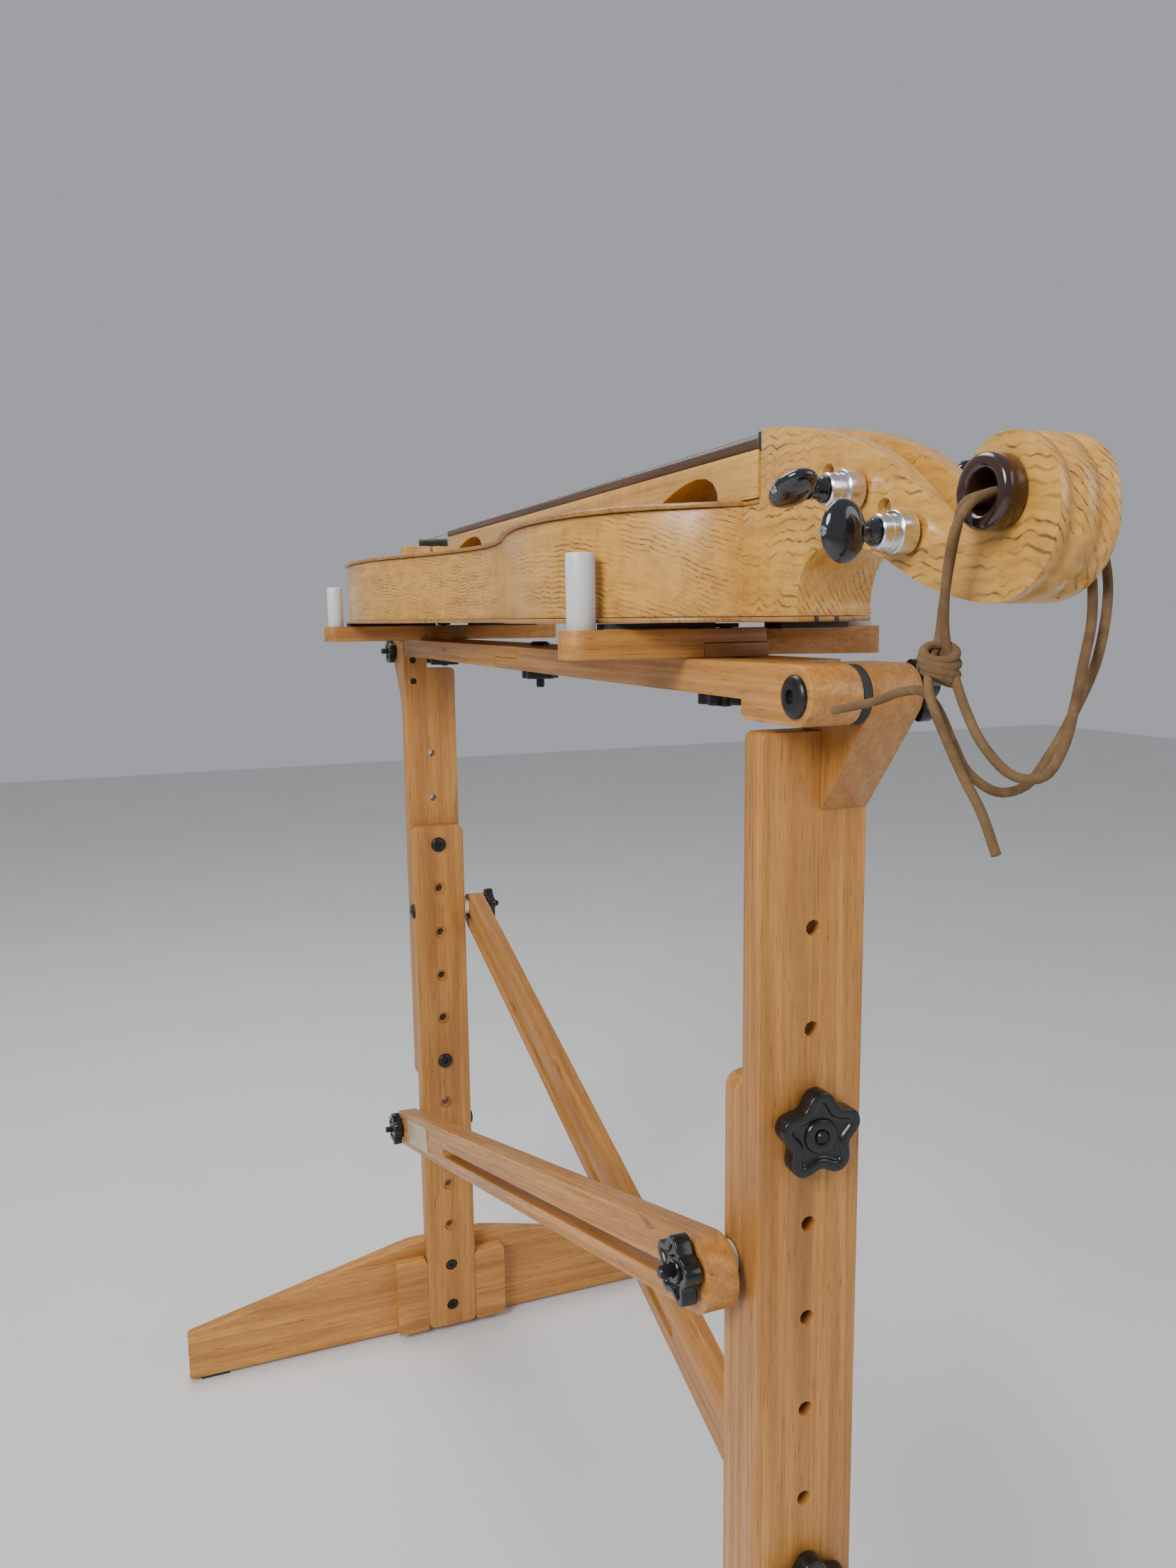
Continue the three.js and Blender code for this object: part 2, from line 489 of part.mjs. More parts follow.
/** Builds everything that the near and the far end have in common. */
function buildEnd(end, reach, tongueOnTop) {
  const group = new THREE.Group();
  const named = (name, solid, finish) => group.add(piece(`${name}_${end}`, solid, finish));
  const bolted = (name, bolt, origin, direction, lobe) => {
    group.add(placedBolt(`${name}_${end}`, bolt, origin, new THREE.Vector3(...direction), lobe));
  };

  named('foot', footSolid(), CHERRY);
  named('lower_post', lowerPostSolid(), CHERRY);
  named('upper_post', upperPostSolid(), CHERRY);
  named('hinge_bracket', bracketSolid(), CHERRY);
  named('beam_half', beamHalfSolid(!tongueOnTop), CHERRY);
  named('cradle_arm_front', armSolid(reach, tongueOnTop), CHERRY);
  const backArm = armSolid(reach, !tongueOnTop).rotate([0, 0, 180]).translate([2 * CRADLE_X, 0, 0]);
  named('cradle_arm_back', backArm, CHERRY);
  for (const [label, side] of [['front', -1], ['back', 1]]) {
    const place = [CRADLE_X, side * (reach - PEG_INSET), 0];
    const peg = rod('z', place, ARM_TOP - 6 + GAP, ARM_TOP + PEG_HEIGHT, PEG_DIAMETER / 2, 16);
    named(`cradle_peg_${label}`, peg, ACRYLIC);
  }
  named('brace', braceSolid(), CHERRY);

  // Leg bolts pass both posts, with the head inside and the knob outside.
  const legBolt = clampBolt(OUTER - LOWER_IN + 2 * GAP, LEG_KNOB_D, KNOB_THICK, HEAD_D, LEG_STUD_PROUD);
  for (const [label, hole] of [['upper', 0], ['lower', 5]]) {
    const height = TOP_LOWER_HOLE - hole * HOLE_PITCH;
    bolted(`leg_knob_${label}`, legBolt, [LOWER_IN - GAP, 0, height], [1, 0, 0], UP);
  }

  // The end hinge: a bolt through the beam's barrel, a spacer and the bracket.
  const hinge = [HINGE_X, 0, HINGE_Z];
  named('hinge_spacer', ringSolid('y', hinge, -HINGE_SPACER / 2, HINGE_SPACER / 2, HINGE_RADIUS), RUBBER);
  const hingeBolt = clampBolt(POST_WIDTH + 2 * GAP, BEAM_KNOB_D, BEAM_KNOB_THICK, 19.5);
  bolted('hinge_knob', hingeBolt, [HINGE_X, -HALF_POST - GAP, HINGE_Z], [0, 1, 0], UP);

  // The cradle bolt, its flat head between the pads and its knob under the beam.
  const boltEnd = BEAM_LOW - GAP - BEAM_KNOB_THICK - 1;
  const shank = rod('z', [CRADLE_X, 0, 0], boltEnd, ARM_TOP + 1, BOLT_D / 2, 10);
  const head = rod('z', [CRADLE_X, 0, 0], ARM_TOP + GAP, ARM_TOP + GAP + CRADLE_HEAD_THICK, CRADLE_HEAD_D / 2, 14);
  named('cradle_bolt', joined(shank, head), BLACK_PLASTIC);
  const knobTop = BEAM_LOW - GAP;
  const star = prism(starShape(BEAM_KNOB_D), 'xy', knobTop - BEAM_KNOB_THICK, knobTop - 2).translate([CRADLE_X, 0, 0]);
  const collar = rod('z', [CRADLE_X, 0, 0], knobTop - BEAM_KNOB_THICK / 2, knobTop, BEAM_KNOB_D * 0.3, 16);
  const bore = rod('z', [CRADLE_X, 0, 0], boltEnd, BEAM_LOW, BOLT_D / 2 + GAP, 10);
  named('cradle_knob', cut(joined(star, collar), bore), BLACK_PLASTIC);

  // Brace bolts: this end's high pivot on the front, the other brace's low pivot on the back.
  const pivotX = (LOWER_IN + LOWER_OUT) / 2;
  const grip = POST_WIDTH + BRACE_SPACER + BOARD + 4 * GAP;
  const braceBolt = clampBolt(grip, BRACE_KNOB_D, KNOB_THICK, HEAD_D);
  for (const [label, side, pitches] of [['high', -1, BRACE_HIGH], ['low', 1, BRACE_LOW]]) {
    const height = TOP_LOWER_HOLE - pitches * HOLE_PITCH;
    const place = [pivotX, 0, height];
    const spacerFrom = side < 0 ? -HALF_POST - GAP - BRACE_SPACER : HALF_POST + GAP;
    named(`brace_spacer_${label}`,
      ringSolid('y', place, spacerFrom, spacerFrom + BRACE_SPACER, BRACE_SPACER_D / 2, 16), IVORY_PLASTIC);
    bolted(`brace_knob_${label}`, braceBolt, [pivotX, -side * (HALF_POST + GAP), height], [0, side, 0], UP);
  }
  return group;
}

/** The bolt and knob that clamp the middle lap of the beam. */
function lapKnob() {
  const bolt = clampBolt(BOARD + 2 * GAP, BEAM_KNOB_D, BEAM_KNOB_THICK, HEAD_D);
  return placedBolt('lap_knob', bolt, [0, 0, BEAM_TOP + GAP], new THREE.Vector3(0, 0, -1), new THREE.Vector3(0, 1, 0));
}

// ---------------------------------------------------------------- dulcimer

// Half-widths of the hourglass body along its length, from the heel to the tail.
const OUTLINE = [
  [HEEL_X, 24], [352, 49], [322, 71.5], [285, 84], [240, 88.5], [195, 85], [140, 73], [85, 60],
  [31, 54], [-20, 60], [-70, 72], [-125, 90], [-180, 104], [-240, 108], [-300, 103],
  [-350, 90], [-385, 68], [TAIL_X + 3, 34], [TAIL_X, 0],
];

/** The body's outline in plan, moved in or out from the ribs' line. */
function bodyShape(offset) {
  const side = OUTLINE.map(([x, half]) => new THREE.Vector2(x, half));
  const other = OUTLINE.slice(0, -1).reverse().map(([x, half]) => new THREE.Vector2(x, -half));
  const spine = [...side, ...other];
  const curve = new THREE.CatmullRomCurve3(spine.map((p) => new THREE.Vector3(p.x, p.y, 0)), false, 'centripetal');
  const steps = 54;
  const points = [];
  for (let i = 0; i <= steps; i += 1) {
    const place = curve.getPoint(i / steps);
    const along = curve.getTangent(i / steps);
    points.push(new THREE.Vector2(place.x - along.y * -offset, place.y - along.x * offset));
  }
  const first = points[0];
  const last = points[points.length - 1];
  first.x = HEEL_X;
  last.x = HEEL_X;
  return new THREE.Shape(points.reverse());
}

/** Points of the head's side profile, in plan X and height above the back's underside. */
function headSideShape() {
  const at = (x, rise) => [x, BODY_LOW + rise];
  const shape = new THREE.Shape();
  shape.moveTo(...at(NUT_X + 3 + GAP, 88.2));
  shape.lineTo(...at(NUT_X + 3 + GAP, BODY_DEPTH + GAP + 0.2));
  shape.lineTo(...at(HEEL_X + 16, BODY_DEPTH + GAP + 0.2));
  shape.lineTo(...at(HEEL_X + 16, BODY_DEPTH - PLATE - GAP));
  shape.lineTo(...at(HEEL_X + GAP, BODY_DEPTH - PLATE - GAP));
  shape.lineTo(...at(HEEL_X + GAP, PLATE + GAP));
  shape.lineTo(...at(HEEL_END, PLATE + GAP));
  shape.bezierCurveTo(...at(HEEL_END - 3, 16), ...at(424, 31), ...at(444, 32.4));
  shape.bezierCurveTo(...at(466, 32), ...at(479, 25), ...at(492, 18));
  shape.bezierCurveTo(...at(503, 12.5), ...at(518, 8), ...at(536, 6.2));
  shape.bezierCurveTo(...at(555, 6), ...at(571, 18), ...at(EYE_X + 27, 40));
  shape.bezierCurveTo(...at(EYE_X + 26.5, 54), ...at(EYE_X + 14, 65), ...at(EYE_X, 64.6));
  shape.bezierCurveTo(...at(EYE_X - 13, 64.4), ...at(EYE_X - 22.5, 54), ...at(EYE_X - 22.5, 44));
  shape.quadraticCurveTo(...at(EYE_X - 23, 38), ...at(EYE_X - 24, 34));
  shape.bezierCurveTo(...at(507, 42), ...at(492, 57), ...at(472, 67));
  shape.bezierCurveTo(...at(452, 77), ...at(420, 86), ...at(388, 88.2));
  return shape;
}

/** The head narrows in plan from the nut to the scroll. */
function headPlanShape() {
  const wide = HEAD_WIDTH / 2;
  const slim = SCROLL_WIDTH / 2;
  return polygon([
    [HEEL_X, -wide], [HEEL_END + 10, -wide], [515, -slim], [600, -slim],
    [600, slim], [515, slim], [HEEL_END + 10, wide], [HEEL_X, wide],
  ]);
}

// Tuner axes: distance along the head, height above the back's underside, side, and the button's turn.
const TUNERS = [
  ['front_1', 461, 52.8, -1, -0.5],
  ['front_2', 493, 34, -1, Math.PI / 2],
  ['back_1', 441.5, 61.8, 1, -0.5],
  ['back_2', 477.7, 44.3, 1, Math.PI / 2],
];

/** Half the head's width at a place along it. */
function headHalfWidth(x) {
  const t = THREE.MathUtils.clamp((x - HEEL_END - 10) / (515 - HEEL_END - 10), 0, 1);
  return THREE.MathUtils.lerp(HEAD_WIDTH / 2, SCROLL_WIDTH / 2, t);
}

function headSolid() {
  const side = prism(headSideShape(), 'xz', -HEAD_WIDTH, HEAD_WIDTH, 10);
  const plan = prism(headPlanShape(), 'xy', BODY_LOW, BODY_LOW + 120, 2);
  const at = (x, rise) => [x, BODY_LOW + rise];
  const cavity = polygon([at(398, 100), at(398, 64), at(501, 25), at(510, 31), at(516, 60), at(516, 100)]);
  const tools = [prism(cavity, 'xz', -SCROLL_WIDTH / 2 + 5.5, SCROLL_WIDTH / 2 - 5.5)];
  tools.push(rod('y', [EYE_X, 0, BODY_LOW + EYE_RISE], -HEAD_WIDTH, HEAD_WIDTH, EYE_RING_D / 2 - 2.7, 20));
  for (const [, x, rise] of TUNERS) {
    tools.push(rod('y', [x, 0, BODY_LOW + rise], -HEAD_WIDTH, HEAD_WIDTH, 4.2, 10));
  }
  return cut(side.intersect(plan), ...tools);
}

/** The dark bushing through the scroll's eye, proud on the front. */
function eyeSolid() {
  const place = [EYE_X, 0, BODY_LOW + EYE_RISE];
  const half = SCROLL_WIDTH / 2;
  const sleeve = rod('y', place, -half - 1, half + 2, EYE_RING_D / 2 - 3, 20);
  const collar = rod('y', place, -half - EYE_RING_PROUD, -half - GAP, EYE_RING_D / 2, 20);
  return cut(joined(sleeve, collar), rod('y', place, -half - 20, half + 20, EYE_HOLE_D / 2, 16));
}

function fretboardSolid() {
  const half = HEAD_WIDTH / 2;
  const low = BODY_TOP + GAP;
  const high = low + FRETBOARD_HEIGHT;
  const bar = block([BOARD_END_X, -half, low], [NUT_X - GAP, half, high]);
  const arches = [[253, 343, 17.5], [-206, -90, 18.5]].map(([from, to, rise]) => {
    const arch = new THREE.Shape();
    arch.moveTo(from, low - 1);
    arch.lineTo(to, low - 1);
    arch.bezierCurveTo(to + 1, low + rise * 1.2, from + (to - from) * 0.6, low + rise * 1.15, from, low - 1);
    return prism(arch, 'xz', -half - 1, half + 1, 8);
  });
  return cut(bar, ...arches);
}

function buildDulcimer() {
  const group = new THREE.Group();
  const add = (name, solid, finish) => group.add(piece(name, solid, finish));
  const half = HEAD_WIDTH / 2;

  const ringLow = BODY_LOW + PLATE + GAP;
  const ringHigh = BODY_TOP - PLATE - GAP;
  const inside = prism(bodyShape(-OVERHANG - RIB), 'xy', ringLow - 1, ringHigh + 1, 1);
  const clearOfHeel = block([HEEL_X - RIB, -200, ringLow - 2], [HEEL_X + 40, 200, ringHigh + 2]);
  const ribs = cut(prism(bodyShape(-OVERHANG), 'xy', ringLow, ringHigh, 1), cut(inside, clearOfHeel));
  add('ribs', ribs, CHESTNUT);
  add('top_plate', joined(
    prism(bodyShape(0), 'xy', BODY_TOP - PLATE, BODY_TOP, 1),
    block([HEEL_X - 20, -half + 1, BODY_TOP - PLATE], [HEEL_X + 16 - GAP, half - 1, BODY_TOP])), CHESTNUT);
  add('back_plate', joined(
    prism(bodyShape(0), 'xy', BODY_LOW, BODY_LOW + PLATE, 1),
    block([HEEL_X - 20, -half, BODY_LOW], [HEEL_END, half, BODY_LOW + PLATE])), CHESTNUT);

  add('fretboard', fretboardSolid(), CHESTNUT);
  const overlayLow = BODY_TOP + 2 * GAP + FRETBOARD_HEIGHT;
  const overlayHigh = overlayLow + FRETBOARD_TOP;
  add('fretboard_overlay', block([BOARD_END_X, -half, overlayLow], [NUT_X - GAP, half, overlayHigh]), WALNUT);
  add('nut', block([NUT_X, -half, BODY_LOW + 79.5], [NUT_X + 3, half, overlayHigh + 2.5]), EBONY);

  // The bridge stands beyond the fretboard's far end, at the scale length from the nut.
  const bridgeX = NUT_X - SCALE_LENGTH;
  const bridgeTop = BODY_TOP + 19;
  const slit = block([bridgeX - 20, -16.5, BODY_TOP + 2], [bridgeX + 20, -13.5, BODY_TOP + 30]);
  add('bridge', cut(block([bridgeX - 9, -43.5, BODY_TOP + GAP], [bridgeX + 9, 43.5, bridgeTop]), slit), CHESTNUT);
  const saddle = polygon([
    [bridgeX - 3, bridgeTop + GAP], [bridgeX + 3, bridgeTop + GAP], [bridgeX + 3, bridgeTop + 5],
    [bridgeX, bridgeTop + 8], [bridgeX - 3, bridgeTop + 5],
  ]);
  add('saddle', prism(saddle, 'xz', -26, 26), EBONY);

  add('head', headSolid(), CHESTNUT);
  add('eye_bushing', eyeSolid(), ROSEWOOD);

  for (const [label, x, rise, side, turn] of TUNERS) {
    const z = BODY_LOW + rise;
    const face = headHalfWidth(x - TUNER_D / 2) + GAP;
    const r = TUNER_D / 2;
    const housing = turned([
      [0, 0], [r, 0], [r, TUNER_LENGTH * 0.5], [r * 0.82, TUNER_LENGTH * 0.5],
      [r * 0.82, TUNER_LENGTH], [0, TUNER_LENGTH],
    ], 'y', side, [x, side * face, z], 16);
    const post = turned([[0, -face * 1.75], [3.2, -face * 1.75], [3.2, 1], [0, 1]], 'y', side, [x, side * face, z], 10);
    add(`tuner_${label}`, joined(housing, post), ALUMINIUM);
    const start = face + TUNER_LENGTH + GAP;
    const button = new THREE.SphereGeometry(0.5, 14, 10);
    button.scale(BUTTON_WIDTH, BUTTON_LENGTH, BUTTON_THICK);
    button.rotateY(turn);
    button.translate(x, side * (start + 4 + BUTTON_LENGTH / 2), z);
    const collar = turned([[0, 0], [5.4, 0], [4.6, 3], [3.6, 7], [0, 7]], 'y', side, [x, side * start, z], 12);
    add(`tuner_button_${label}`, joined(toSolid(button), collar), BLACK_PLASTIC);
  }
  return group;
}

// ---------------------------------------------------------------- lace

// The lace's centre line from the left tail to the lower one. It goes down into the outer
// loop, up behind the scroll, through the eye, into the inner loop and through the eye again.
const LACE_ROUTE = [
  [488, -44, 807], [511, -40.5, 812], [524, -39, 816], [532, -36, 816.5],
  [537, -33.5, 811], [545, -32.5, 799], [551, -31, 790], [557.5, -24, 783.5],
  [559, -13, 785], [560.5, -4, 796], [561.5, 5, 811], [562.5, 12, 827],
  [553.5, 24.5, 851], [547.5, 27, 867], [545.5, 25, 880], [545, 17, 885],
  [544.8, 0, 885], [544.8, -18, 884.6], [544, -27, 881], [541.5, -31, 874],
  [536.5, -30.5, 860], [536, -31, 845], [537.5, -31.5, 836], [542, -32, 826],
  [551, -32, 810], [558, -30, 799], [569, -27, 790.5], [579.5, -24, 791.5],
  [581.5, -19, 800], [578.5, -12, 813.5], [571, -2, 826.5], [559.5, 12, 842],
  [549, 20.5, 860], [544.5, 20.5, 872], [540, 18.5, 881], [539.2, 12, 884],
  [539.2, -18, 884.2], [538, -26, 880.5], [536.3, -27, 873],
  [531.5, -26, 860], [530.5, -27, 848], [532, -30, 834], [537, -37, 826],
  [541.5, -40.5, 817], [549, -39, 802], [558, -38, 789], [567, -38, 779], [575, -38, 766],
];

function laceGeometry() {
  const points = LACE_ROUTE.map(([x, y, z]) => new THREE.Vector3(x, y, z));
  const path = new THREE.CatmullRomCurve3(points, false, 'centripetal');
  const section = new THREE.Shape();
  const sides = 8;
  for (let i = 0; i < sides; i += 1) {
    const angle = (i / sides) * Math.PI * 2;
    const place = [Math.cos(angle) * LACE_D / 2, Math.sin(angle) * LACE_D / 2];
    if (i === 0) section.moveTo(...place);
    else section.lineTo(...place);
  }
  section.closePath();
  return new THREE.ExtrudeGeometry(section, { steps: LACE_STEPS, extrudePath: path, curveSegments: 1 });
}

// ---------------------------------------------------------------- assembly

const object = new THREE.Group();
object.add(buildEnd('near', NEAR_REACH, true));
const farEnd = buildEnd('far', FAR_REACH, false);
farEnd.rotation.z = Math.PI;
object.add(farEnd);
object.add(lapKnob(), buildDulcimer());

// The origin is on the floor, under the middle of the whole, measured without the lace.
const extent = new THREE.Box3().setFromObject(object, true);
object.add(piece('lace', toSolid(laceGeometry()), SUEDE));
object.position.set(-(extent.min.x + extent.max.x) / 2, -(extent.min.y + extent.max.y) / 2, -extent.min.z);
object.updateMatrixWorld(true);

export default object;
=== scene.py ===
"""A scroll-headed mountain dulcimer lying in the cradles of its knock-down floor stand."""

import json
import logging
import math
from dataclasses import dataclass, field
from enum import Enum
from typing import Callable

import bmesh
import bpy
from mathutils import Matrix, Vector

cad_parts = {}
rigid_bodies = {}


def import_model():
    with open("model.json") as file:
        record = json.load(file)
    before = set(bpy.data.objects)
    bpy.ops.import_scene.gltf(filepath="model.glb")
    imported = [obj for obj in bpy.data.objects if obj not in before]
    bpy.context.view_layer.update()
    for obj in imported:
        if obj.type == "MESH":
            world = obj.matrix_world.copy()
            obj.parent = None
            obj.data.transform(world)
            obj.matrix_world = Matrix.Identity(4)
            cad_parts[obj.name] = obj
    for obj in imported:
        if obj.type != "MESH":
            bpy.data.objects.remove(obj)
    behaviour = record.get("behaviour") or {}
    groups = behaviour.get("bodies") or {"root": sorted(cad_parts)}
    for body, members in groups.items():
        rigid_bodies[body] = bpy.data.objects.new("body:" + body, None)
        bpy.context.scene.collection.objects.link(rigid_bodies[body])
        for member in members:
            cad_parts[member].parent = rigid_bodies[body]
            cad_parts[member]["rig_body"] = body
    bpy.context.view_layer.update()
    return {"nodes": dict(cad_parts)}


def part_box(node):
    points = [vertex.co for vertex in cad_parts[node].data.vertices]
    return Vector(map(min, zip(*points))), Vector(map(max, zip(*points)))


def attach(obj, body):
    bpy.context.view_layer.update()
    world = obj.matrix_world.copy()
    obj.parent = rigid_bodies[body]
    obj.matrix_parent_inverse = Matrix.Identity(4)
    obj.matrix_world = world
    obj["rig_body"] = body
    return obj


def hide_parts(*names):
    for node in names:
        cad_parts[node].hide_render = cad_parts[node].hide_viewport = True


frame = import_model()

MM = 0.001
Triple = tuple[float, float, float]
Socket = bpy.types.NodeSocket
log = logging.getLogger("dulcimer_stand")


# ------------------------------------------------------------------ places in the frame


def middle_of(node: str) -> Vector:
    """Gives the middle of a CAD node's box.

    Args:
        node: The CAD node.

    Returns:
        The middle, in metres.
    """
    low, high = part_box(node)
    return (low + high) / 2


STAND_MIDDLE_X = middle_of("lap_knob").x
HALF_TURN = Matrix.Rotation(math.pi, 4, "Z")


class End(Enum):
    """The two ends of the stand; the far one is the near one turned half round."""

    NEAR = "near"
    FAR = "far"

    @property
    def matrix(self) -> Matrix:
        """Takes millimetres measured from the stand's middle to this end's place in the frame.

        Returns:
            The matrix.
        """
        turn = Matrix.Identity(4) if self is End.NEAR else HALF_TURN
        return Matrix.Translation((STAND_MIDDLE_X, 0, 0)) @ turn @ Matrix.Scale(MM, 4)


def spot(x: float, y: float, z: float) -> Vector:
    """Gives a place in the frame from one measured off the stand's middle.

    Args:
        x: Distance along the beam in millimetres.
        y: Distance across the beam in millimetres.
        z: Height above the floor in millimetres.

    Returns:
        The place, in metres.
    """
    return Vector((x * MM + STAND_MIDDLE_X, y * MM, z * MM))


def shaded(colour: Triple, share: float) -> Triple:
    """Makes a colour lighter or darker.

    Args:
        colour: The colour.
        share: What it is multiplied by.

    Returns:
        The new colour, no brighter than white.
    """
    return tuple(min(1, part * share) for part in colour)


@dataclass(frozen=True)
class StandSizes:
    """Sizes of the stand in millimetres."""

    outer: float = 406.5
    lower_in: float = 371.2
    half_post: float = 28.5
    gap: float = 0.3
    board: float = 17.5
    lowest_hole: float = 34.4
    pitch: float = 50.8
    top_lower_hole: float = 593.2
    pivot_x: float = 379.95
    hinge_x: float = 434.5
    hinge_z: float = 808.5
    beam_top: float = 822.0
    beam_low: float = 804.5
    cradle_x: float = 315.0
    arm_thick: float = 15.0
    brace_low: float = 263.0
    brace_high: float = 517.0
    brace_angle: float = math.radians(18.11)


STAND = StandSizes()


# ------------------------------------------------------------------ finishes


MIX_COLOUR_INPUTS = (0, 6, 7)
MIX_COLOUR_OUTPUT = 2


class Recipe:
    """The node sheet of one material while it is being put together."""

    def __init__(self, name: str) -> None:
        """Starts a material.

        Args:
            name: The finish's name.
        """
        self.material = bpy.data.materials.new(name)
        self.material.use_nodes = True
        self.tree = self.material.node_tree
        self.shader = self.tree.nodes["Principled BSDF"]
        self.where = self.tree.nodes.new("ShaderNodeTexCoord").outputs["Object"]

    def fixed(self, **values: float | Triple) -> None:
        """Sets the shader's own sockets.

        Args:
            values: The value of each socket, named with underscores for spaces.
        """
        for name, value in values.items():
            self.shader.inputs[name.replace("_", " ")].default_value = value

    def mapped(self, source: Socket, turn: Triple = (0, 0, 0), scale: Triple = (1, 1, 1),
               shift: Triple = (0, 0, 0)) -> Socket:
        """Turns, stretches and shifts coordinates.

        Args:
            source: The coordinates.
            turn: Turn about each axis in radians.
            scale: Stretch along each axis.
            shift: Shift along each axis.

        Returns:
            The vector socket.
        """
        node = self.tree.nodes.new("ShaderNodeMapping")
        node.inputs["Rotation"].default_value = turn
        node.inputs["Scale"].default_value = scale
        node.inputs["Location"].default_value = shift
        self.tree.links.new(source, node.inputs["Vector"])
        return node.outputs["Vector"]

    def noise(self, source: Socket, scale: float, detail: float = 3, warp: float = 0,
              colour: bool = False) -> Socket:
        """Adds a cloud pattern.

        Args:
            source: The coordinates.
            scale: How fine the pattern is.
            detail: How many finer layers it has.
            warp: How much it swirls.
            colour: Whether its three separate channels are wanted.

        Returns:
            Its value socket, or its colour socket.
        """
        node = self.tree.nodes.new("ShaderNodeTexNoise")
        node.inputs["Scale"].default_value = scale
        node.inputs["Detail"].default_value = detail
        node.inputs["Distortion"].default_value = warp
        self.tree.links.new(source, node.inputs["Vector"])
        return node.outputs["Color" if colour else "Fac"]

    def fibres(self, source: Socket, scale: Triple, detail: float = 3, warp: float = 0,
               colour: bool = False) -> Socket:
        """Adds a cloud pattern that is drawn out differently along each axis.

        Args:
            source: The coordinates.
            scale: How fine the pattern is along each axis.
            detail: How many finer layers it has.
            warp: How much it swirls.
            colour: Whether its three separate channels are wanted.

        Returns:
            Its value socket, or its colour socket.
        """
        return self.noise(self.mapped(source, scale=scale), 1, detail, warp, colour)

    def rings(self, source: Socket, scale: float, warp: float) -> Socket:
        """Adds growth rings about the X axis.

        Args:
            source: The coordinates.
            scale: How close the rings are.
            warp: How uneven they are.

        Returns:
            The value socket.
        """
        node = self.tree.nodes.new("ShaderNodeTexWave")
        node.wave_type = "RINGS"
        node.rings_direction = "X"
        node.inputs["Scale"].default_value = scale
        node.inputs["Distortion"].default_value = warp
        node.inputs["Detail"].default_value = 2
        node.inputs["Detail Scale"].default_value = 1.2
        self.tree.links.new(source, node.inputs["Vector"])
        return node.outputs["Fac"]

    def grey(self, value: Socket, low: float, high: float, start: float = 0.3, end: float = 0.7) -> Socket:
        """Spreads a value between two greys.

        Args:
            value: The value.
            low: The grey at the start.
            high: The grey at the end.
            start: The value at which the spread starts.
            end: The value at which it ends.

        Returns:
            The grey's socket.
        """
        node = self.tree.nodes.new("ShaderNodeValToRGB")
        for element, at, shade in zip(node.color_ramp.elements, (start, end), (low, high)):
            element.position = at
            element.color = (shade, shade, shade, 1)
        self.tree.links.new(value, node.inputs["Fac"])
        return node.outputs["Color"]

    def mixed(self, share: Socket, first: Socket | Triple, second: Socket | Triple) -> Socket:
        """Mixes two colours.

        Args:
            share: How much of the second colour shows.
            first: The first colour, or its socket.
            second: The second colour, or its socket.

        Returns:
            The colour socket.
        """
        node = self.tree.nodes.new("ShaderNodeMix")
        node.data_type = "RGBA"
        amount, *colours = (node.inputs[number] for number in MIX_COLOUR_INPUTS)
        self.tree.links.new(share, amount)
        for socket, value in zip(colours, (first, second)):
            if isinstance(value, Socket):
                self.tree.links.new(value, socket)
            else:
                socket.default_value = (*value, 1)
        return node.outputs[MIX_COLOUR_OUTPUT]

    def times(self, first: Socket, second: Socket) -> Socket:
        """Multiplies two values.

        Args:
            first: The first value.
            second: The second value.

        Returns:
            The value socket.
        """
        node = self.tree.nodes.new("ShaderNodeMath")
        node.operation = "MULTIPLY"
        self.tree.links.new(first, node.inputs[0])
        self.tree.links.new(second, node.inputs[1])
        return node.outputs["Value"]

    def warped(self, source: Socket, by: Socket, amount: float) -> Socket:
        """Pushes coordinates sideways by a colour pattern, and leaves them as they are along X.

        Args:
            source: The coordinates.
            by: The pattern.
            amount: How far it pushes, in metres.

        Returns:
            The vector socket.
        """
        centred = self.tree.nodes.new("ShaderNodeVectorMath")
        centred.operation = "SUBTRACT"
        centred.inputs[1].default_value = (0.5, 0.5, 0.5)
        self.tree.links.new(by, centred.inputs[0])
        moved = self.tree.nodes.new("ShaderNodeVectorMath")
        moved.operation = "MULTIPLY_ADD"
        moved.inputs[1].default_value = (0, amount, amount)
        self.tree.links.new(centred.outputs["Vector"], moved.inputs[0])
        self.tree.links.new(source, moved.inputs[2])
        return moved.outputs["Vector"]

    def finish(self, colour: Socket, roughness: Socket, height: Socket, strength: float,
               depth: float) -> bpy.types.Material:
        """Joins the patterns to the shader.

        Args:
            colour: The colour socket.
            roughness: The roughness socket.
            height: The socket that raises the surface.
            strength: How much of the raising shows.
            depth: Height of the raising in metres.

        Returns:
            The finished material.
        """
        bump = self.tree.nodes.new("ShaderNodeBump")
        bump.inputs["Strength"].default_value = strength
        bump.inputs["Distance"].default_value = depth
        links = self.tree.links
        links.new(height, bump.inputs["Height"])
        links.new(bump.outputs["Normal"], self.shader.inputs["Normal"])
        links.new(colour, self.shader.inputs["Base Color"])
        links.new(roughness, self.shader.inputs["Roughness"])
        return self.material


class Grain(Enum):
    """How a board is turned so that its grain lies along X."""

    ALONG_X = (0.0, 0.0, 0.0)
    ALONG_Y = (0.0, 0.0, -math.pi / 2)
    ALONG_Z = (0.0, math.pi / 2, 0.0)
    NEAR_BRACE = (0.0, STAND.brace_angle, 0.0)
    FAR_BRACE = (0.0, math.pi - STAND.brace_angle, 0.0)


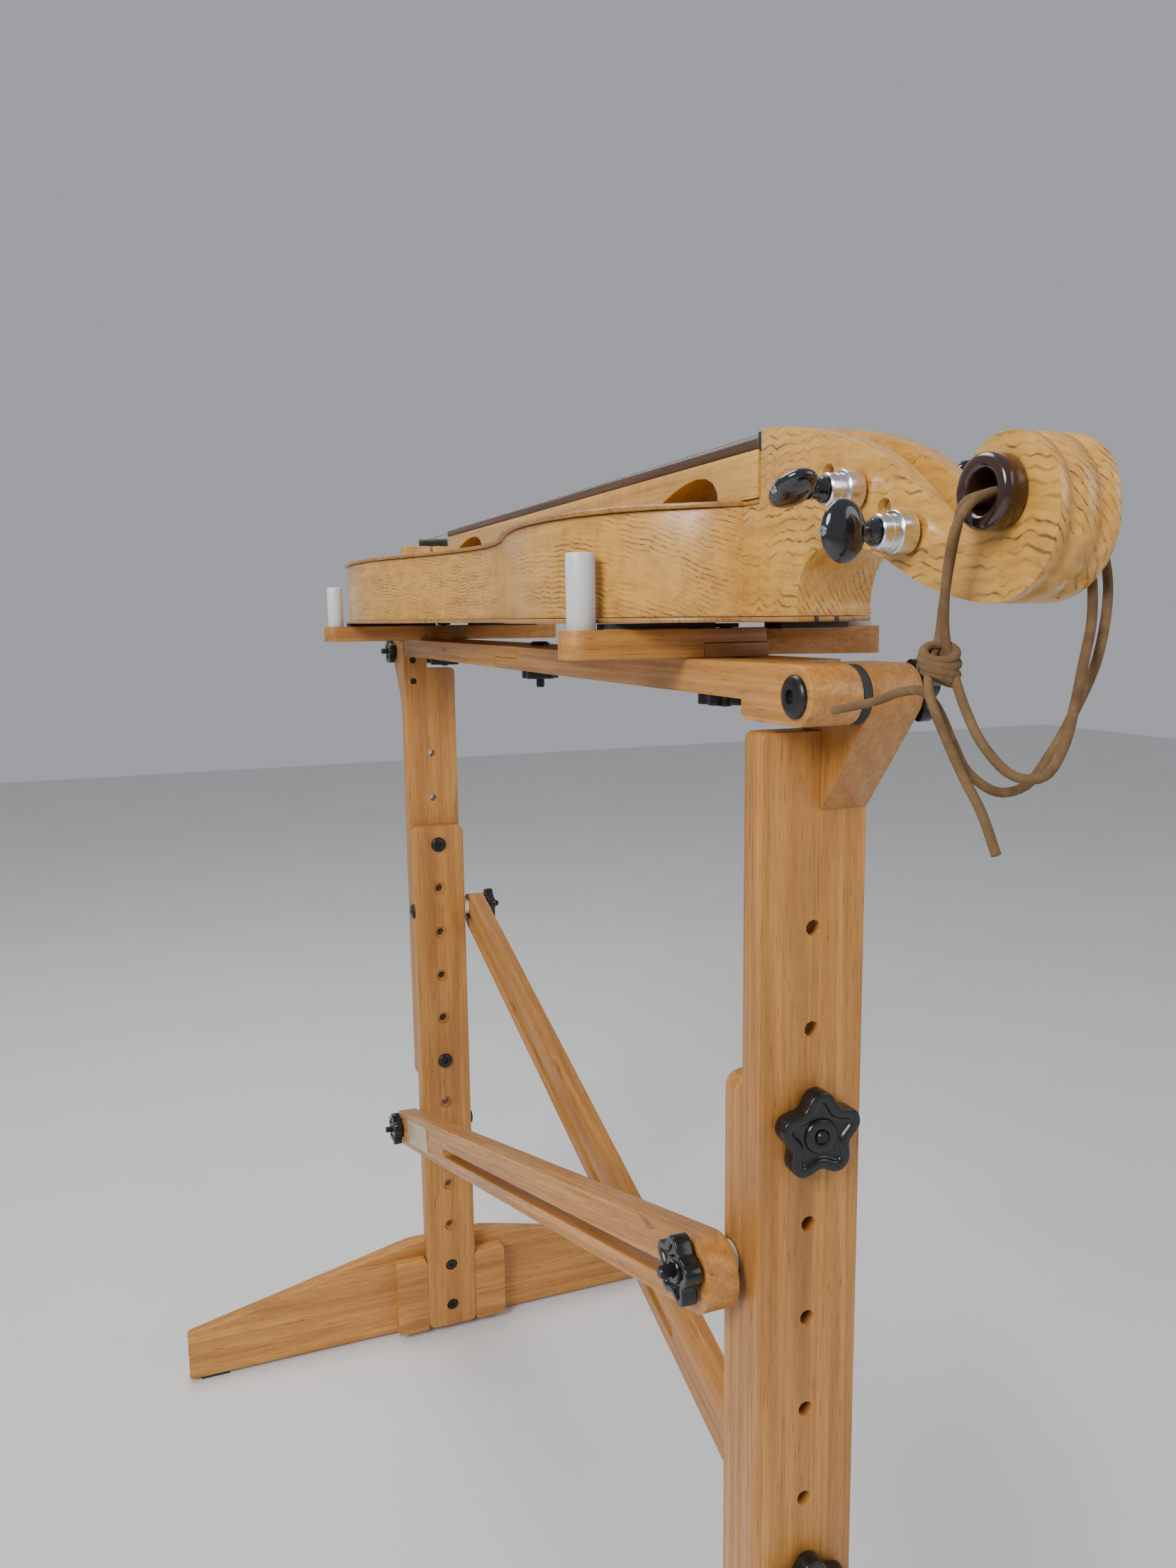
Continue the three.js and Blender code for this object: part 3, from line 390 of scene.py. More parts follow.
@dataclass(frozen=True)
class PlainWood:
    """Straight-grained hardwood with a satin oil finish."""

    name: str
    pale: Triple
    deep: Triple
    pore: Triple
    ring_scale: float = 34
    coat: float = 0.12

    def material(self, grain: Grain, shift: float, tone: float = 1) -> bpy.types.Material:
        """Makes the wood of one board.

        Args:
            grain: The way the grain runs.
            shift: Which stretch of the log the board comes from, in metres.
            tone: How light the board is beside the others.

        Returns:
            The material.
        """
        recipe = Recipe(f"{self.name}_{grain.name.lower()}")
        place = (shift, 0.07 + shift * 0.13, 0.05 + shift * 0.21)
        log_space = recipe.mapped(recipe.where, grain.value, shift=place)
        tilted = recipe.mapped(log_space, (0, 0.05, 0.04), (0.22, 1, 1))
        rings = recipe.rings(tilted, self.ring_scale, 3.2)
        fibre = recipe.fibres(log_space, (7, 420, 420), 5)
        pores = recipe.fibres(log_space, (55, 1500, 1500), 2)
        cloud = recipe.fibres(log_space, (4, 30, 30), 4, 0.8)
        gum = recipe.fibres(log_space, (26, 150, 150), 2, 0.4)
        ringed = recipe.mixed(recipe.grey(rings, 0.05, 0.42, 0.2, 0.95), shaded(self.pale, tone), self.deep)
        streaked = recipe.mixed(recipe.grey(fibre, 0, 0.75, 0.38, 0.70), ringed, self.deep)
        clouded = recipe.mixed(recipe.grey(cloud, 0, 0.6, 0.45, 0.72), streaked, shaded(self.deep, 0.72))
        flecked = recipe.mixed(recipe.grey(gum, 0, 0.75, 0.70, 0.78), clouded, self.pore)
        body = recipe.mixed(recipe.grey(pores, 0, 0.6, 0.58, 0.70), flecked, self.pore)
        recipe.fixed(Coat_Weight=self.coat, Coat_Roughness=0.3)
        return recipe.finish(body, recipe.grey(fibre, 0.36, 0.56), pores, 0.12, 0.0002)


@dataclass(frozen=True)
class FiguredWood:
    """Golden figured hardwood whose dark pores run in waves."""

    name: str
    pale: Triple
    deep: Triple
    pore: Triple
    wave: float = 0.0050
    pore_share: float = 0.85
    line_scale: float = 128

    def material(self, grain: Grain, shift: float) -> bpy.types.Material:
        """Makes the wood of one piece.

        Args:
            grain: The way the grain runs.
            shift: Which stretch of the log the piece comes from, in metres.

        Returns:
            The material.
        """
        recipe = Recipe(f"{self.name}_{grain.name.lower()}")
        log_space = recipe.mapped(recipe.where, grain.value, shift=(shift, 0.11 + shift, 0.23 - shift))
        curl = recipe.fibres(log_space, (105, 30, 30), 1, 0.2, colour=True)
        waved = recipe.warped(log_space, curl, self.wave)
        tilted = recipe.mapped(waved, (0, 0.03, 0.05), (0.25, 1, 1))
        lines = recipe.grey(recipe.rings(tilted, self.line_scale, 1.6), self.pore_share, 0, 0.03, 0.26)
        patches = recipe.grey(recipe.fibres(log_space, (16, 60, 60), 3, 0.6), 0.15, 1, 0.4, 0.62)
        breaks = recipe.grey(recipe.fibres(waved, (110, 500, 500), 2), 0.25, 1, 0.42, 0.56)
        layers = recipe.fibres(waved, (6, 240, 240), 4)
        # Painted sheen: fine streaks of lighter colour stand in for the shimmer that light makes across the
        # figure.
        painted_sheen = recipe.fibres(log_space, (125, 12, 20), 2, 0.8)
        stain = recipe.noise(log_space, 15, 5, 1.2)
        layered = recipe.mixed(recipe.grey(layers, 0, 0.8, 0.36, 0.68), self.pale, self.deep)
        # Painted sheen: the streaks mix in a colour a quarter lighter than the pale wood.
        with_painted_sheen = recipe.mixed(recipe.grey(painted_sheen, 0, 0.34, 0.35, 0.7), layered, shaded(self.pale, 1.25))
        stained = recipe.mixed(recipe.grey(stain, 0, 0.55, 0.62, 0.8), with_painted_sheen, shaded(self.deep, 0.5))
        body = recipe.mixed(recipe.times(recipe.times(lines, patches), breaks), stained, self.pore)
        recipe.fixed(Coat_Weight=0.3, Coat_Roughness=0.22)
        return recipe.finish(body, recipe.grey(layers, 0.26, 0.42), layers, 0.10, 0.0002)


@dataclass(frozen=True)
class Moulded:
    """Plastic, rubber or metal with a fine uneven surface."""

    name: str
    colour: Triple
    worn: Triple
    rough_low: float
    rough_high: float
    speck: float = 600
    relief: float = 0.05
    metal: float = 0
    clear: float = 0
    coat: float = 0
    stretch: Triple = (1, 1, 1)

    def material(self) -> bpy.types.Material:
        """Makes the material.

        Returns:
            The material.
        """
        recipe = Recipe(self.name)
        stretched = recipe.mapped(recipe.where, scale=self.stretch)
        fine = recipe.noise(stretched, self.speck, 4)
        cloud = recipe.noise(stretched, self.speck / 14, 3, 0.5)
        body = recipe.mixed(recipe.grey(cloud, 0, 0.8), self.colour, self.worn)
        body = recipe.mixed(recipe.grey(fine, 0, 0.3), body, self.worn)
        recipe.fixed(Metallic=self.metal, Transmission_Weight=self.clear, Coat_Weight=self.coat)
        roughness = recipe.grey(cloud, self.rough_low, self.rough_high)
        return recipe.finish(body, roughness, fine, self.relief, 0.0003)


CHERRY = PlainWood("cherry", (0.565, 0.265, 0.062), (0.345, 0.128, 0.022), (0.115, 0.038, 0.007))
WALNUT = PlainWood("walnut", (0.125, 0.058, 0.028), (0.060, 0.027, 0.013), (0.020, 0.009, 0.005), 46, 0.2)
CHESTNUT = FiguredWood("chestnut", (0.62, 0.33, 0.068), (0.40, 0.175, 0.026), (0.085, 0.030, 0.006))
PLATE_WOOD = FiguredWood("plate_wood", (0.40, 0.19, 0.042), (0.23, 0.092, 0.018), (0.07, 0.026, 0.006),
                         0.003, 0.6)
CURLY = FiguredWood("curly_side", (0.64, 0.36, 0.085), (0.45, 0.21, 0.038), (0.24, 0.10, 0.018),
                    0.002, 0.45)
BLACK = Moulded("black_plastic", (0.005, 0.005, 0.006), (0.011, 0.011, 0.012), 0.14, 0.26, 700, 0.03)
BUTTON = Moulded("button_plastic", (0.006, 0.006, 0.007), (0.014, 0.014, 0.016), 0.06, 0.15, 500, 0.015,
                 coat=0.6)
OXIDE = Moulded("black_oxide_steel", (0.010, 0.010, 0.011), (0.035, 0.034, 0.033), 0.24, 0.40, 900, 0.06,
                0.5)
RUBBER = Moulded("black_rubber", (0.016, 0.016, 0.018), (0.035, 0.034, 0.034), 0.7, 0.9, 1500, 0.25)
NYLON = Moulded("ivory_nylon", (0.76, 0.73, 0.60), (0.62, 0.57, 0.42), 0.35, 0.5, 500, 0.05)
ACRYLIC = Moulded("frosted_acrylic", (0.92, 0.94, 0.96), (0.74, 0.77, 0.80), 0.26, 0.40, 420, 0.14,
                  clear=0.30, stretch=(1, 1, 0.08))
ALUMINIUM = Moulded("turned_aluminium", (0.80, 0.81, 0.83), (0.62, 0.63, 0.65), 0.16, 0.30, 260, 0.05, 1,
                    stretch=(1, 8, 1))
CHROME = Moulded("bright_screw", (0.82, 0.82, 0.84), (0.66, 0.66, 0.68), 0.08, 0.2, 600, 0.03, 1)
NICKEL = Moulded("fret_wire", (0.72, 0.68, 0.58), (0.52, 0.49, 0.42), 0.18, 0.32, 900, 0.04, 1)
STRING_STEEL = Moulded("string_steel", (0.62, 0.61, 0.58), (0.45, 0.44, 0.42), 0.22, 0.35, 1500, 0.08, 1)
EBONY = Moulded("ebony", (0.014, 0.012, 0.011), (0.035, 0.028, 0.024), 0.28, 0.42, 800, 0.08,
                stretch=(0.1, 1, 1))
ROSEWOOD = Moulded("rosewood", (0.018, 0.006, 0.005), (0.050, 0.013, 0.008), 0.14, 0.28, 300, 0.06, coat=0.5,
                   stretch=(1, 0.12, 1))
SUEDE = Moulded("suede", (0.205, 0.115, 0.046), (0.085, 0.043, 0.016), 0.85, 0.98, 1500, 0.8)
BRASS = Moulded("plate_brass", (0.66, 0.57, 0.38), (0.50, 0.41, 0.25), 0.30, 0.46, 500, 0.08, 0.55)
FLOOR_PAPER = Moulded("floor_paper", (0.74, 0.74, 0.73), (0.70, 0.70, 0.69), 0.7, 0.85, 60, 0.02)


# ------------------------------------------------------------------ bench work


def chosen_faces(piece: bpy.types.Object, test: Callable[[bmesh.types.BMFace], bool]) -> None:
    """Opens a piece in edit mode with only some of its faces selected.

    Args:
        piece: The piece.
        test: Tells whether a face is wanted.
    """
    take(piece)
    bpy.ops.object.mode_set(mode="EDIT")
    bpy.ops.mesh.select_all(action="DESELECT")
    sheet = bmesh.from_edit_mesh(piece.data)
    for face in sheet.faces:
        face.select = test(face)
    bmesh.update_edit_mesh(piece.data)


def calm() -> None:
    """Leaves edit mode with nothing selected."""
    if bpy.context.object and bpy.context.object.mode != "OBJECT":
        bpy.ops.object.mode_set(mode="OBJECT")
    bpy.ops.object.select_all(action="DESELECT")


def take(piece: bpy.types.Object) -> None:
    """Makes one piece the only one in hand.

    Args:
        piece: The piece.
    """
    calm()
    piece.select_set(True)
    bpy.context.view_layer.objects.active = piece


def named(name: str) -> bpy.types.Object:
    """Names the piece in hand.

    Args:
        name: Its name.

    Returns:
        The piece.
    """
    piece = bpy.context.object
    piece.name = name
    piece.data.name = name
    return piece


def settled(piece: bpy.types.Object, matrix: Matrix | None = None) -> bpy.types.Object:
    """Puts a piece's place into its mesh and leaves its object at the origin.

    Args:
        piece: The piece.
        matrix: Where its mesh goes, beyond the object's own place.

    Returns:
        The piece.
    """
    calm()
    piece.data.transform((matrix or Matrix.Identity(4)) @ piece.matrix_basis)
    piece.matrix_basis = Matrix.Identity(4)
    if matrix is not None and matrix.determinant() < 0:
        piece.data.flip_normals()
    return piece


def eased(piece: bpy.types.Object, width: float, steps: int = 2, angle: float = 40) -> bpy.types.Object:
    """Rounds the sharp edges and smooths the rest.

    Args:
        piece: The piece.
        width: Width of the rounding in metres.
        steps: Faces across the rounding.
        angle: Edges sharper than this, in degrees, are rounded.

    Returns:
        The piece.
    """
    take(piece)
    if width > 0:
        bevel = piece.modifiers.new("eased_edges", "BEVEL")
        bevel.width = width
        bevel.segments = steps
        bevel.limit_method = "ANGLE"
        bevel.angle_limit = math.radians(angle)
        bpy.ops.object.modifier_apply(modifier=bevel.name)
    bpy.ops.object.shade_smooth_by_angle(angle=math.radians(angle))
    calm()
    return piece


def from_node(node: str, name: str) -> bpy.types.Object:
    """Copies a CAD node's mesh, with its triangles merged into whole faces.

    Args:
        node: The CAD node.
        name: The piece's name.

    Returns:
        The piece.
    """
    calm()
    mesh = frame["nodes"][node].data.copy()
    mesh.name = name
    mesh.materials.clear()
    piece = bpy.data.objects.new(name, mesh)
    bpy.context.scene.collection.objects.link(piece)
    take(piece)
    bpy.ops.object.mode_set(mode="EDIT")
    bpy.ops.mesh.select_all(action="SELECT")
    bpy.ops.mesh.remove_doubles(threshold=1e-5)
    bpy.ops.mesh.dissolve_limited(angle_limit=math.radians(0.3))
    bpy.ops.object.mode_set(mode="OBJECT")
    if piece.data.has_custom_normals:
        bpy.ops.mesh.customdata_custom_splitnormals_clear()
    calm()
    return piece


def turned(name: str, profile: list[tuple[float, float]], sides: int, fill: str) -> bpy.types.Object:
    """Draws a shell up through rings of radius and height, and leaves it selected in edit mode.

    Args:
        name: The piece's name.
        profile: Radius and height of each ring, in millimetres.
        sides: Faces round the piece.
        fill: What fills the first ring.

    Returns:
        The piece.
    """
    calm()
    radius, height = profile[0]
    bpy.ops.mesh.primitive_circle_add(vertices=sides, radius=radius, fill_type=fill, location=(0, 0, height))
    piece = named(name)
    bpy.ops.object.mode_set(mode="EDIT")
    bpy.ops.mesh.select_all(action="SELECT")
    for next_radius, next_height in profile[1:]:
        bpy.ops.mesh.extrude_region_move(TRANSFORM_OT_translate={"value": (0, 0, next_height - height)})
        bpy.ops.transform.resize(value=(next_radius / radius, next_radius / radius, 1))
        radius, height = next_radius, next_height
    bpy.ops.mesh.select_all(action="SELECT")
    return piece


def lathed(name: str, profile: list[tuple[float, float]], sides: int = 40) -> bpy.types.Object:
    """Turns a solid about Z from rings of radius and height, in millimetres.

    Args:
        name: The piece's name.
        profile: Radius and height of each ring from the bottom up.
        sides: Faces round the piece.

    Returns:
        The piece, closed at both ends.
    """
    piece = turned(name, profile, sides, "NGON")
    bpy.ops.mesh.normals_make_consistent(inside=False)
    return settled(piece)


def lathed_ring(name: str, profile: list[tuple[float, float]], sides: int = 56) -> bpy.types.Object:
    """Turns a ring about Z from a closed profile, in millimetres.

    Args:
        name: The piece's name.
        profile: Radius and height round the ring's section.
        sides: Faces round the piece.

    Returns:
        The piece.
    """
    piece = turned(name, [*profile, profile[0]], sides, "NOTHING")
    bpy.ops.mesh.remove_doubles(threshold=1e-3)
    bpy.ops.mesh.normals_make_consistent(inside=False)
    return settled(piece)


def slab(name: str, low: Triple, high: Triple) -> bpy.types.Object:
    """Adds a rectangular block between two corners, in millimetres.

    Args:
        name: The piece's name.
        low: The corner with the smaller numbers.
        high: The corner with the larger numbers.

    Returns:
        The piece.
    """
    calm()
    size = [b - a for a, b in zip(low, high)]
    centre = [(a + b) / 2 for a, b in zip(low, high)]
    bpy.ops.mesh.primitive_cube_add(size=1, location=centre, scale=size)
    return settled(named(name))


def bar_between(name: str, start: Vector, end: Vector, radius: float, sides: int = 10) -> bpy.types.Object:
    """Adds a round bar from one place to another, in metres.

    Args:
        name: The piece's name.
        start: Middle of one end.
        end: Middle of the other end.
        radius: The bar's radius.
        sides: Faces round the bar.

    Returns:
        The piece.
    """
    calm()
    run = end - start
    bpy.ops.mesh.primitive_cylinder_add(vertices=sides, radius=radius, depth=run.length)
    piece = named(name)
    turn = run.to_track_quat("Z", "Y").to_matrix().to_4x4()
    settled(piece, Matrix.Translation((start + end) / 2) @ turn)
    return eased(piece, 0)


def joined(name: str, pieces: list[bpy.types.Object]) -> bpy.types.Object:
    """Joins pieces into one under a new name.

    Args:
        name: The new name.
        pieces: The pieces, the first of which keeps its materials' order.

    Returns:
        The joined piece.
    """
    calm()
    for piece in pieces:
        piece.select_set(True)
    bpy.context.view_layer.objects.active = pieces[0]
    if len(pieces) > 1:
        bpy.ops.object.join()
    whole = named(name)
    calm()
    return whole


def another(piece: bpy.types.Object, name: str, matrix: Matrix) -> bpy.types.Object:
    """Copies a piece, with its own mesh, to another place.

    Args:
        piece: The piece.
        name: The copy's name.
        matrix: Where the copy's mesh goes.

    Returns:
        The copy.
    """
    copy = piece.copy()
    copy.data = piece.data.copy()
    copy.name = name
    copy.data.name = name
    bpy.context.scene.collection.objects.link(copy)
    copy.data.transform(matrix)
    return copy


def painted(piece: bpy.types.Object, *materials: bpy.types.Material) -> bpy.types.Object:
    """Gives a piece its materials.

    Args:
        piece: The piece.
        materials: The materials, in the order of its slots.

    Returns:
        The piece.
    """
    piece.data.materials.clear()
    for material in materials:
        piece.data.materials.append(material)
    return piece


def stands_for(piece: bpy.types.Object, node: str) -> bpy.types.Object:
    """Lets a piece ride in place of a CAD node.

    Args:
        piece: The piece.
        node: The CAD node.

    Returns:
        The piece.
    """
    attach(piece, frame["nodes"][node]["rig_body"])
    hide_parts(node)
    log.info("%s stands for %s", piece.name, node)
    return piece


def extra(piece: bpy.types.Object, body: str) -> bpy.types.Object:
    """Lets a piece that CAD doesn't have ride on a body.

    Args:
        piece: The piece.
        body: The body.

    Returns:
        The piece.
    """
    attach(piece, body)
    log.info("%s rides on %s", piece.name, body)
    return piece


# ------------------------------------------------------------------ hardware


@dataclass
class StarBolt:
    """A button-headed bolt with a five-lobed knob, built along Z from the head's inner face."""

    grip: float
    knob: float
    thick: float
    head: float
    bolt: float = 6.4
    head_thick: float = 3.0
    proud: float = 7.0
    lobes: int = 5
    washer_thick: float = 2.0
    socket_radius: float = 2.3

    def star(self, low: float) -> bpy.types.Object:
        """Makes the knob.

        Args:
            low: Height of its washer face.

        Returns:
            The piece.
        """
        calm()
        depth = self.thick - self.washer_thick
        middle = low + self.washer_thick + depth / 2
        bpy.ops.mesh.primitive_cylinder_add(
            vertices=80, radius=self.knob / 2, depth=depth, location=(0, 0, middle))
        knob = settled(named("star"))
        dip = 0.13 * self.knob
        for vertex in knob.data.vertices:
            flat = Vector((vertex.co.x, vertex.co.y))
            angle = math.atan2(flat.x, flat.y)
            radius = self.knob / 2 - dip * (0.5 - 0.5 * math.cos(self.lobes * angle)) ** 1.25
            flat = flat.normalized() * radius
            vertex.co.x, vertex.co.y = flat.x, flat.y
        top = low + self.thick
        chosen_faces(knob, lambda face: face.calc_center_median().z > top - 0.01)
        bpy.ops.mesh.inset(thickness=self.knob * 0.11, depth=0)
        bpy.ops.mesh.extrude_region_move(TRANSFORM_OT_translate={"value": (0, 0, -self.thick * 0.16)})
        bpy.ops.transform.resize(value=(0.94, 0.94, 1))
        bpy.ops.object.mode_set(mode="OBJECT")
        eased(knob, self.knob * 0.035, 3, 34)
        hub = lathed("hub", [
            (self.knob * 0.20, top - self.thick * 0.3), (self.knob * 0.20, top - self.thick * 0.12),
            (self.knob * 0.18, top - 0.2), (self.bolt * 0.62, top - 0.2), (self.bolt * 0.60, top - 1.4)], 32)
        collar = lathed("collar", [(self.knob * 0.3, low), (self.knob * 0.3, low + self.thick / 2)], 40)
        return joined("star", [knob, eased(hub, 0.25), eased(collar, 0.3)])

    def bolt_with_head(self) -> bpy.types.Object:
        """Makes the shank and the button head with its hexagon socket.

        Returns:
            The piece.
        """
        low = -self.head_thick
        wide = self.head / 2
        head = lathed("head", [
            (wide * 0.30, low + 1.9), (wide * 0.34, low + 0.02), (wide * 0.62, low),
            (wide * 0.84, low * 0.80), (wide * 0.96, low * 0.50), (wide, low * 0.22), (wide, 0)], 36)
        socket = lathed("socket", [(self.socket_radius, low - 0.03), (self.socket_radius, low + 1.7)], 6)
        length = self.grip + self.thick + self.proud
        shank = lathed("shank", [
            (self.bolt * 0.5, -1), (self.bolt * 0.5, length - 0.9), (self.bolt * 0.40, length)], 24)
        take(head)
        cut = head.modifiers.new("socket", "BOOLEAN")
        cut.operation = "DIFFERENCE"
        cut.object = socket
        bpy.ops.object.modifier_apply(modifier=cut.name)
        bpy.data.objects.remove(socket)
        return joined("bolt", [eased(head, 0, angle=32), eased(shank, 0, angle=32)])

    def build(self, name: str) -> bpy.types.Object:
        """Makes the whole bolt.

        Args:
            name: Name of the pattern piece.

        Returns:
            The piece, in millimetres about the origin, with knob and bolt materials.
        """
        star = painted(self.star(self.grip), BLACK_MATERIAL, OXIDE_MATERIAL)
        bolt = self.bolt_with_head()
        bolt.data.materials.append(BLACK_MATERIAL)
        bolt.data.materials.append(OXIDE_MATERIAL)
        for face in bolt.data.polygons:
            face.material_index = 1
        return joined(name, [star, bolt])


BLACK_MATERIAL = BLACK.material()
OXIDE_MATERIAL = OXIDE.material()
RUBBER_MATERIAL = RUBBER.material()
NYLON_MATERIAL = NYLON.material()
ACRYLIC_MATERIAL = ACRYLIC.material()
CHROME_MATERIAL = CHROME.material()


def aimed(origin: Triple, direction: Triple, lobe: Triple) -> Matrix:
    """Gives the matrix that lays a bolt along a direction.

    Args:
        origin: Where the head's inner face is.
        direction: The way the bolt points.
        lobe: The way one of the knob's lobes points.

    Returns:
        The matrix.
    """
    ahead, up = Vector(direction), Vector(lobe)
    side = up.cross(ahead)
    return Matrix.Translation(origin) @ Matrix((side, up, ahead)).transposed().to_4x4()


@dataclass
class Hardware:
    """All the bolts and knobs of the stand."""

    leg: StarBolt = field(default_factory=lambda: StarBolt(35.9, 45, 11, 16.4, proud=1.2))
    hinge: StarBolt = field(default_factory=lambda: StarBolt(57.6, 30, 8, 19.5))
    brace: StarBolt = field(default_factory=lambda: StarBolt(80.9, 36, 11, 16.4))
    lap: StarBolt = field(default_factory=lambda: StarBolt(18.1, 30, 8, 16.4))
    cradle: StarBolt = field(default_factory=lambda: StarBolt(0, 30, 8, 14))
    foot: StarBolt = field(default_factory=lambda: StarBolt(34.3, 20, 2, 14, head_thick=2.6, proud=-3))
    holes_between: int = 5
    cradle_face: float = 7.7
    foot_head_sunk: float = 2.9

    def build(self) -> None:
        """Makes and places every bolt and knob."""
        kinds = {"leg": self.leg, "hinge": self.hinge, "brace": self.brace, "lap": self.lap}
        patterns = {name: kind.build(f"{name}_pattern") for name, kind in kinds.items()}
        s = STAND
        for end in End:
            e = end.value
            for label, hole in (("upper", 0), ("lower", self.holes_between)):
                height = s.top_lower_hole - hole * s.pitch
                leg_at = aimed((s.lower_in - s.gap, 0, height), (1, 0, 0), (0, 0, 1))
                self.place(patterns["leg"], f"leg_star_{label}_{e}", end, leg_at, f"leg_knob_{label}_{e}")
            hinge_at = aimed((s.hinge_x, -s.half_post - s.gap, s.hinge_z), (0, 1, 0), (0, 0, 1))
            self.place(patterns["hinge"], f"hinge_star_{e}", end, hinge_at, f"hinge_knob_{e}")
            for label, side, height in (("high", -1, s.brace_high), ("low", 1, s.brace_low)):
                head_y = -side * (s.half_post + s.gap)
                brace_at = aimed((s.pivot_x, head_y, height), (0, side, 0), (0, 0, 1))
                node = f"brace_knob_{label}_{e}"
                self.place(patterns["brace"], f"brace_star_{label}_{e}", end, brace_at, node)
            self.cradle_knob(end)
            self.foot_bolts(end)
        lap_at = aimed((0, 0, s.beam_top + s.gap), (0, 0, -1), (0, 1, 0))
        self.place(patterns["lap"], "lap_star", End.NEAR, lap_at, "lap_knob")
        for pattern in patterns.values():
            bpy.data.objects.remove(pattern)

    def place(self, pattern: bpy.types.Object, name: str, end: End, matrix: Matrix, node: str) -> None:
        """Copies a pattern bolt to its place.

        Args:
            pattern: The pattern bolt.
            name: The copy's name.
            end: The end of the stand it is at.
            matrix: Its place at the near end, in millimetres.
            node: The CAD node it stands for.
        """
        stands_for(another(pattern, name, end.matrix @ matrix), node)

    def cradle_knob(self, end: End) -> None:
        """Makes the knob under the beam that clamps the cradle, and its flat-headed bolt.

        Args:
            end: The end of the stand it is at.
        """
        s = STAND
        star = self.cradle.star(0)
        for vertex in star.data.vertices:
            vertex.co.z = min(vertex.co.z, self.cradle_face)
        matrix = end.matrix @ aimed((s.cradle_x, 0, s.beam_low - s.gap), (0, 0, -1), (0, 1, 0))
        knob = settled(painted(star, BLACK_MATERIAL), matrix)
        knob.name = f"cradle_star_{end.value}"
        stands_for(knob, f"cradle_knob_{end.value}")
        bolt = eased(from_node(f"cradle_bolt_{end.value}", f"cradle_stud_{end.value}"), 0.0003)
        stands_for(painted(bolt, OXIDE_MATERIAL), f"cradle_bolt_{end.value}")

    def foot_bolts(self, end: End) -> None:
        """Makes the two bolts that hold the foot to the lower post.

        Args:
            end: The end of the stand they are at.
        """
        s = STAND
        bolts = []
        for hole in range(2):
            height = s.lowest_hole + hole * s.pitch
            foot_at = aimed((s.lower_in + self.foot_head_sunk, 0, height), (1, 0, 0), (0, 0, 1))
            bolts.append(settled(self.foot.bolt_with_head(), end.matrix @ foot_at))
        whole = painted(joined(f"foot_bolts_{end.value}", bolts), OXIDE_MATERIAL)
        extra(whole, "base")


# ------------------------------------------------------------------ the stand's woodwork


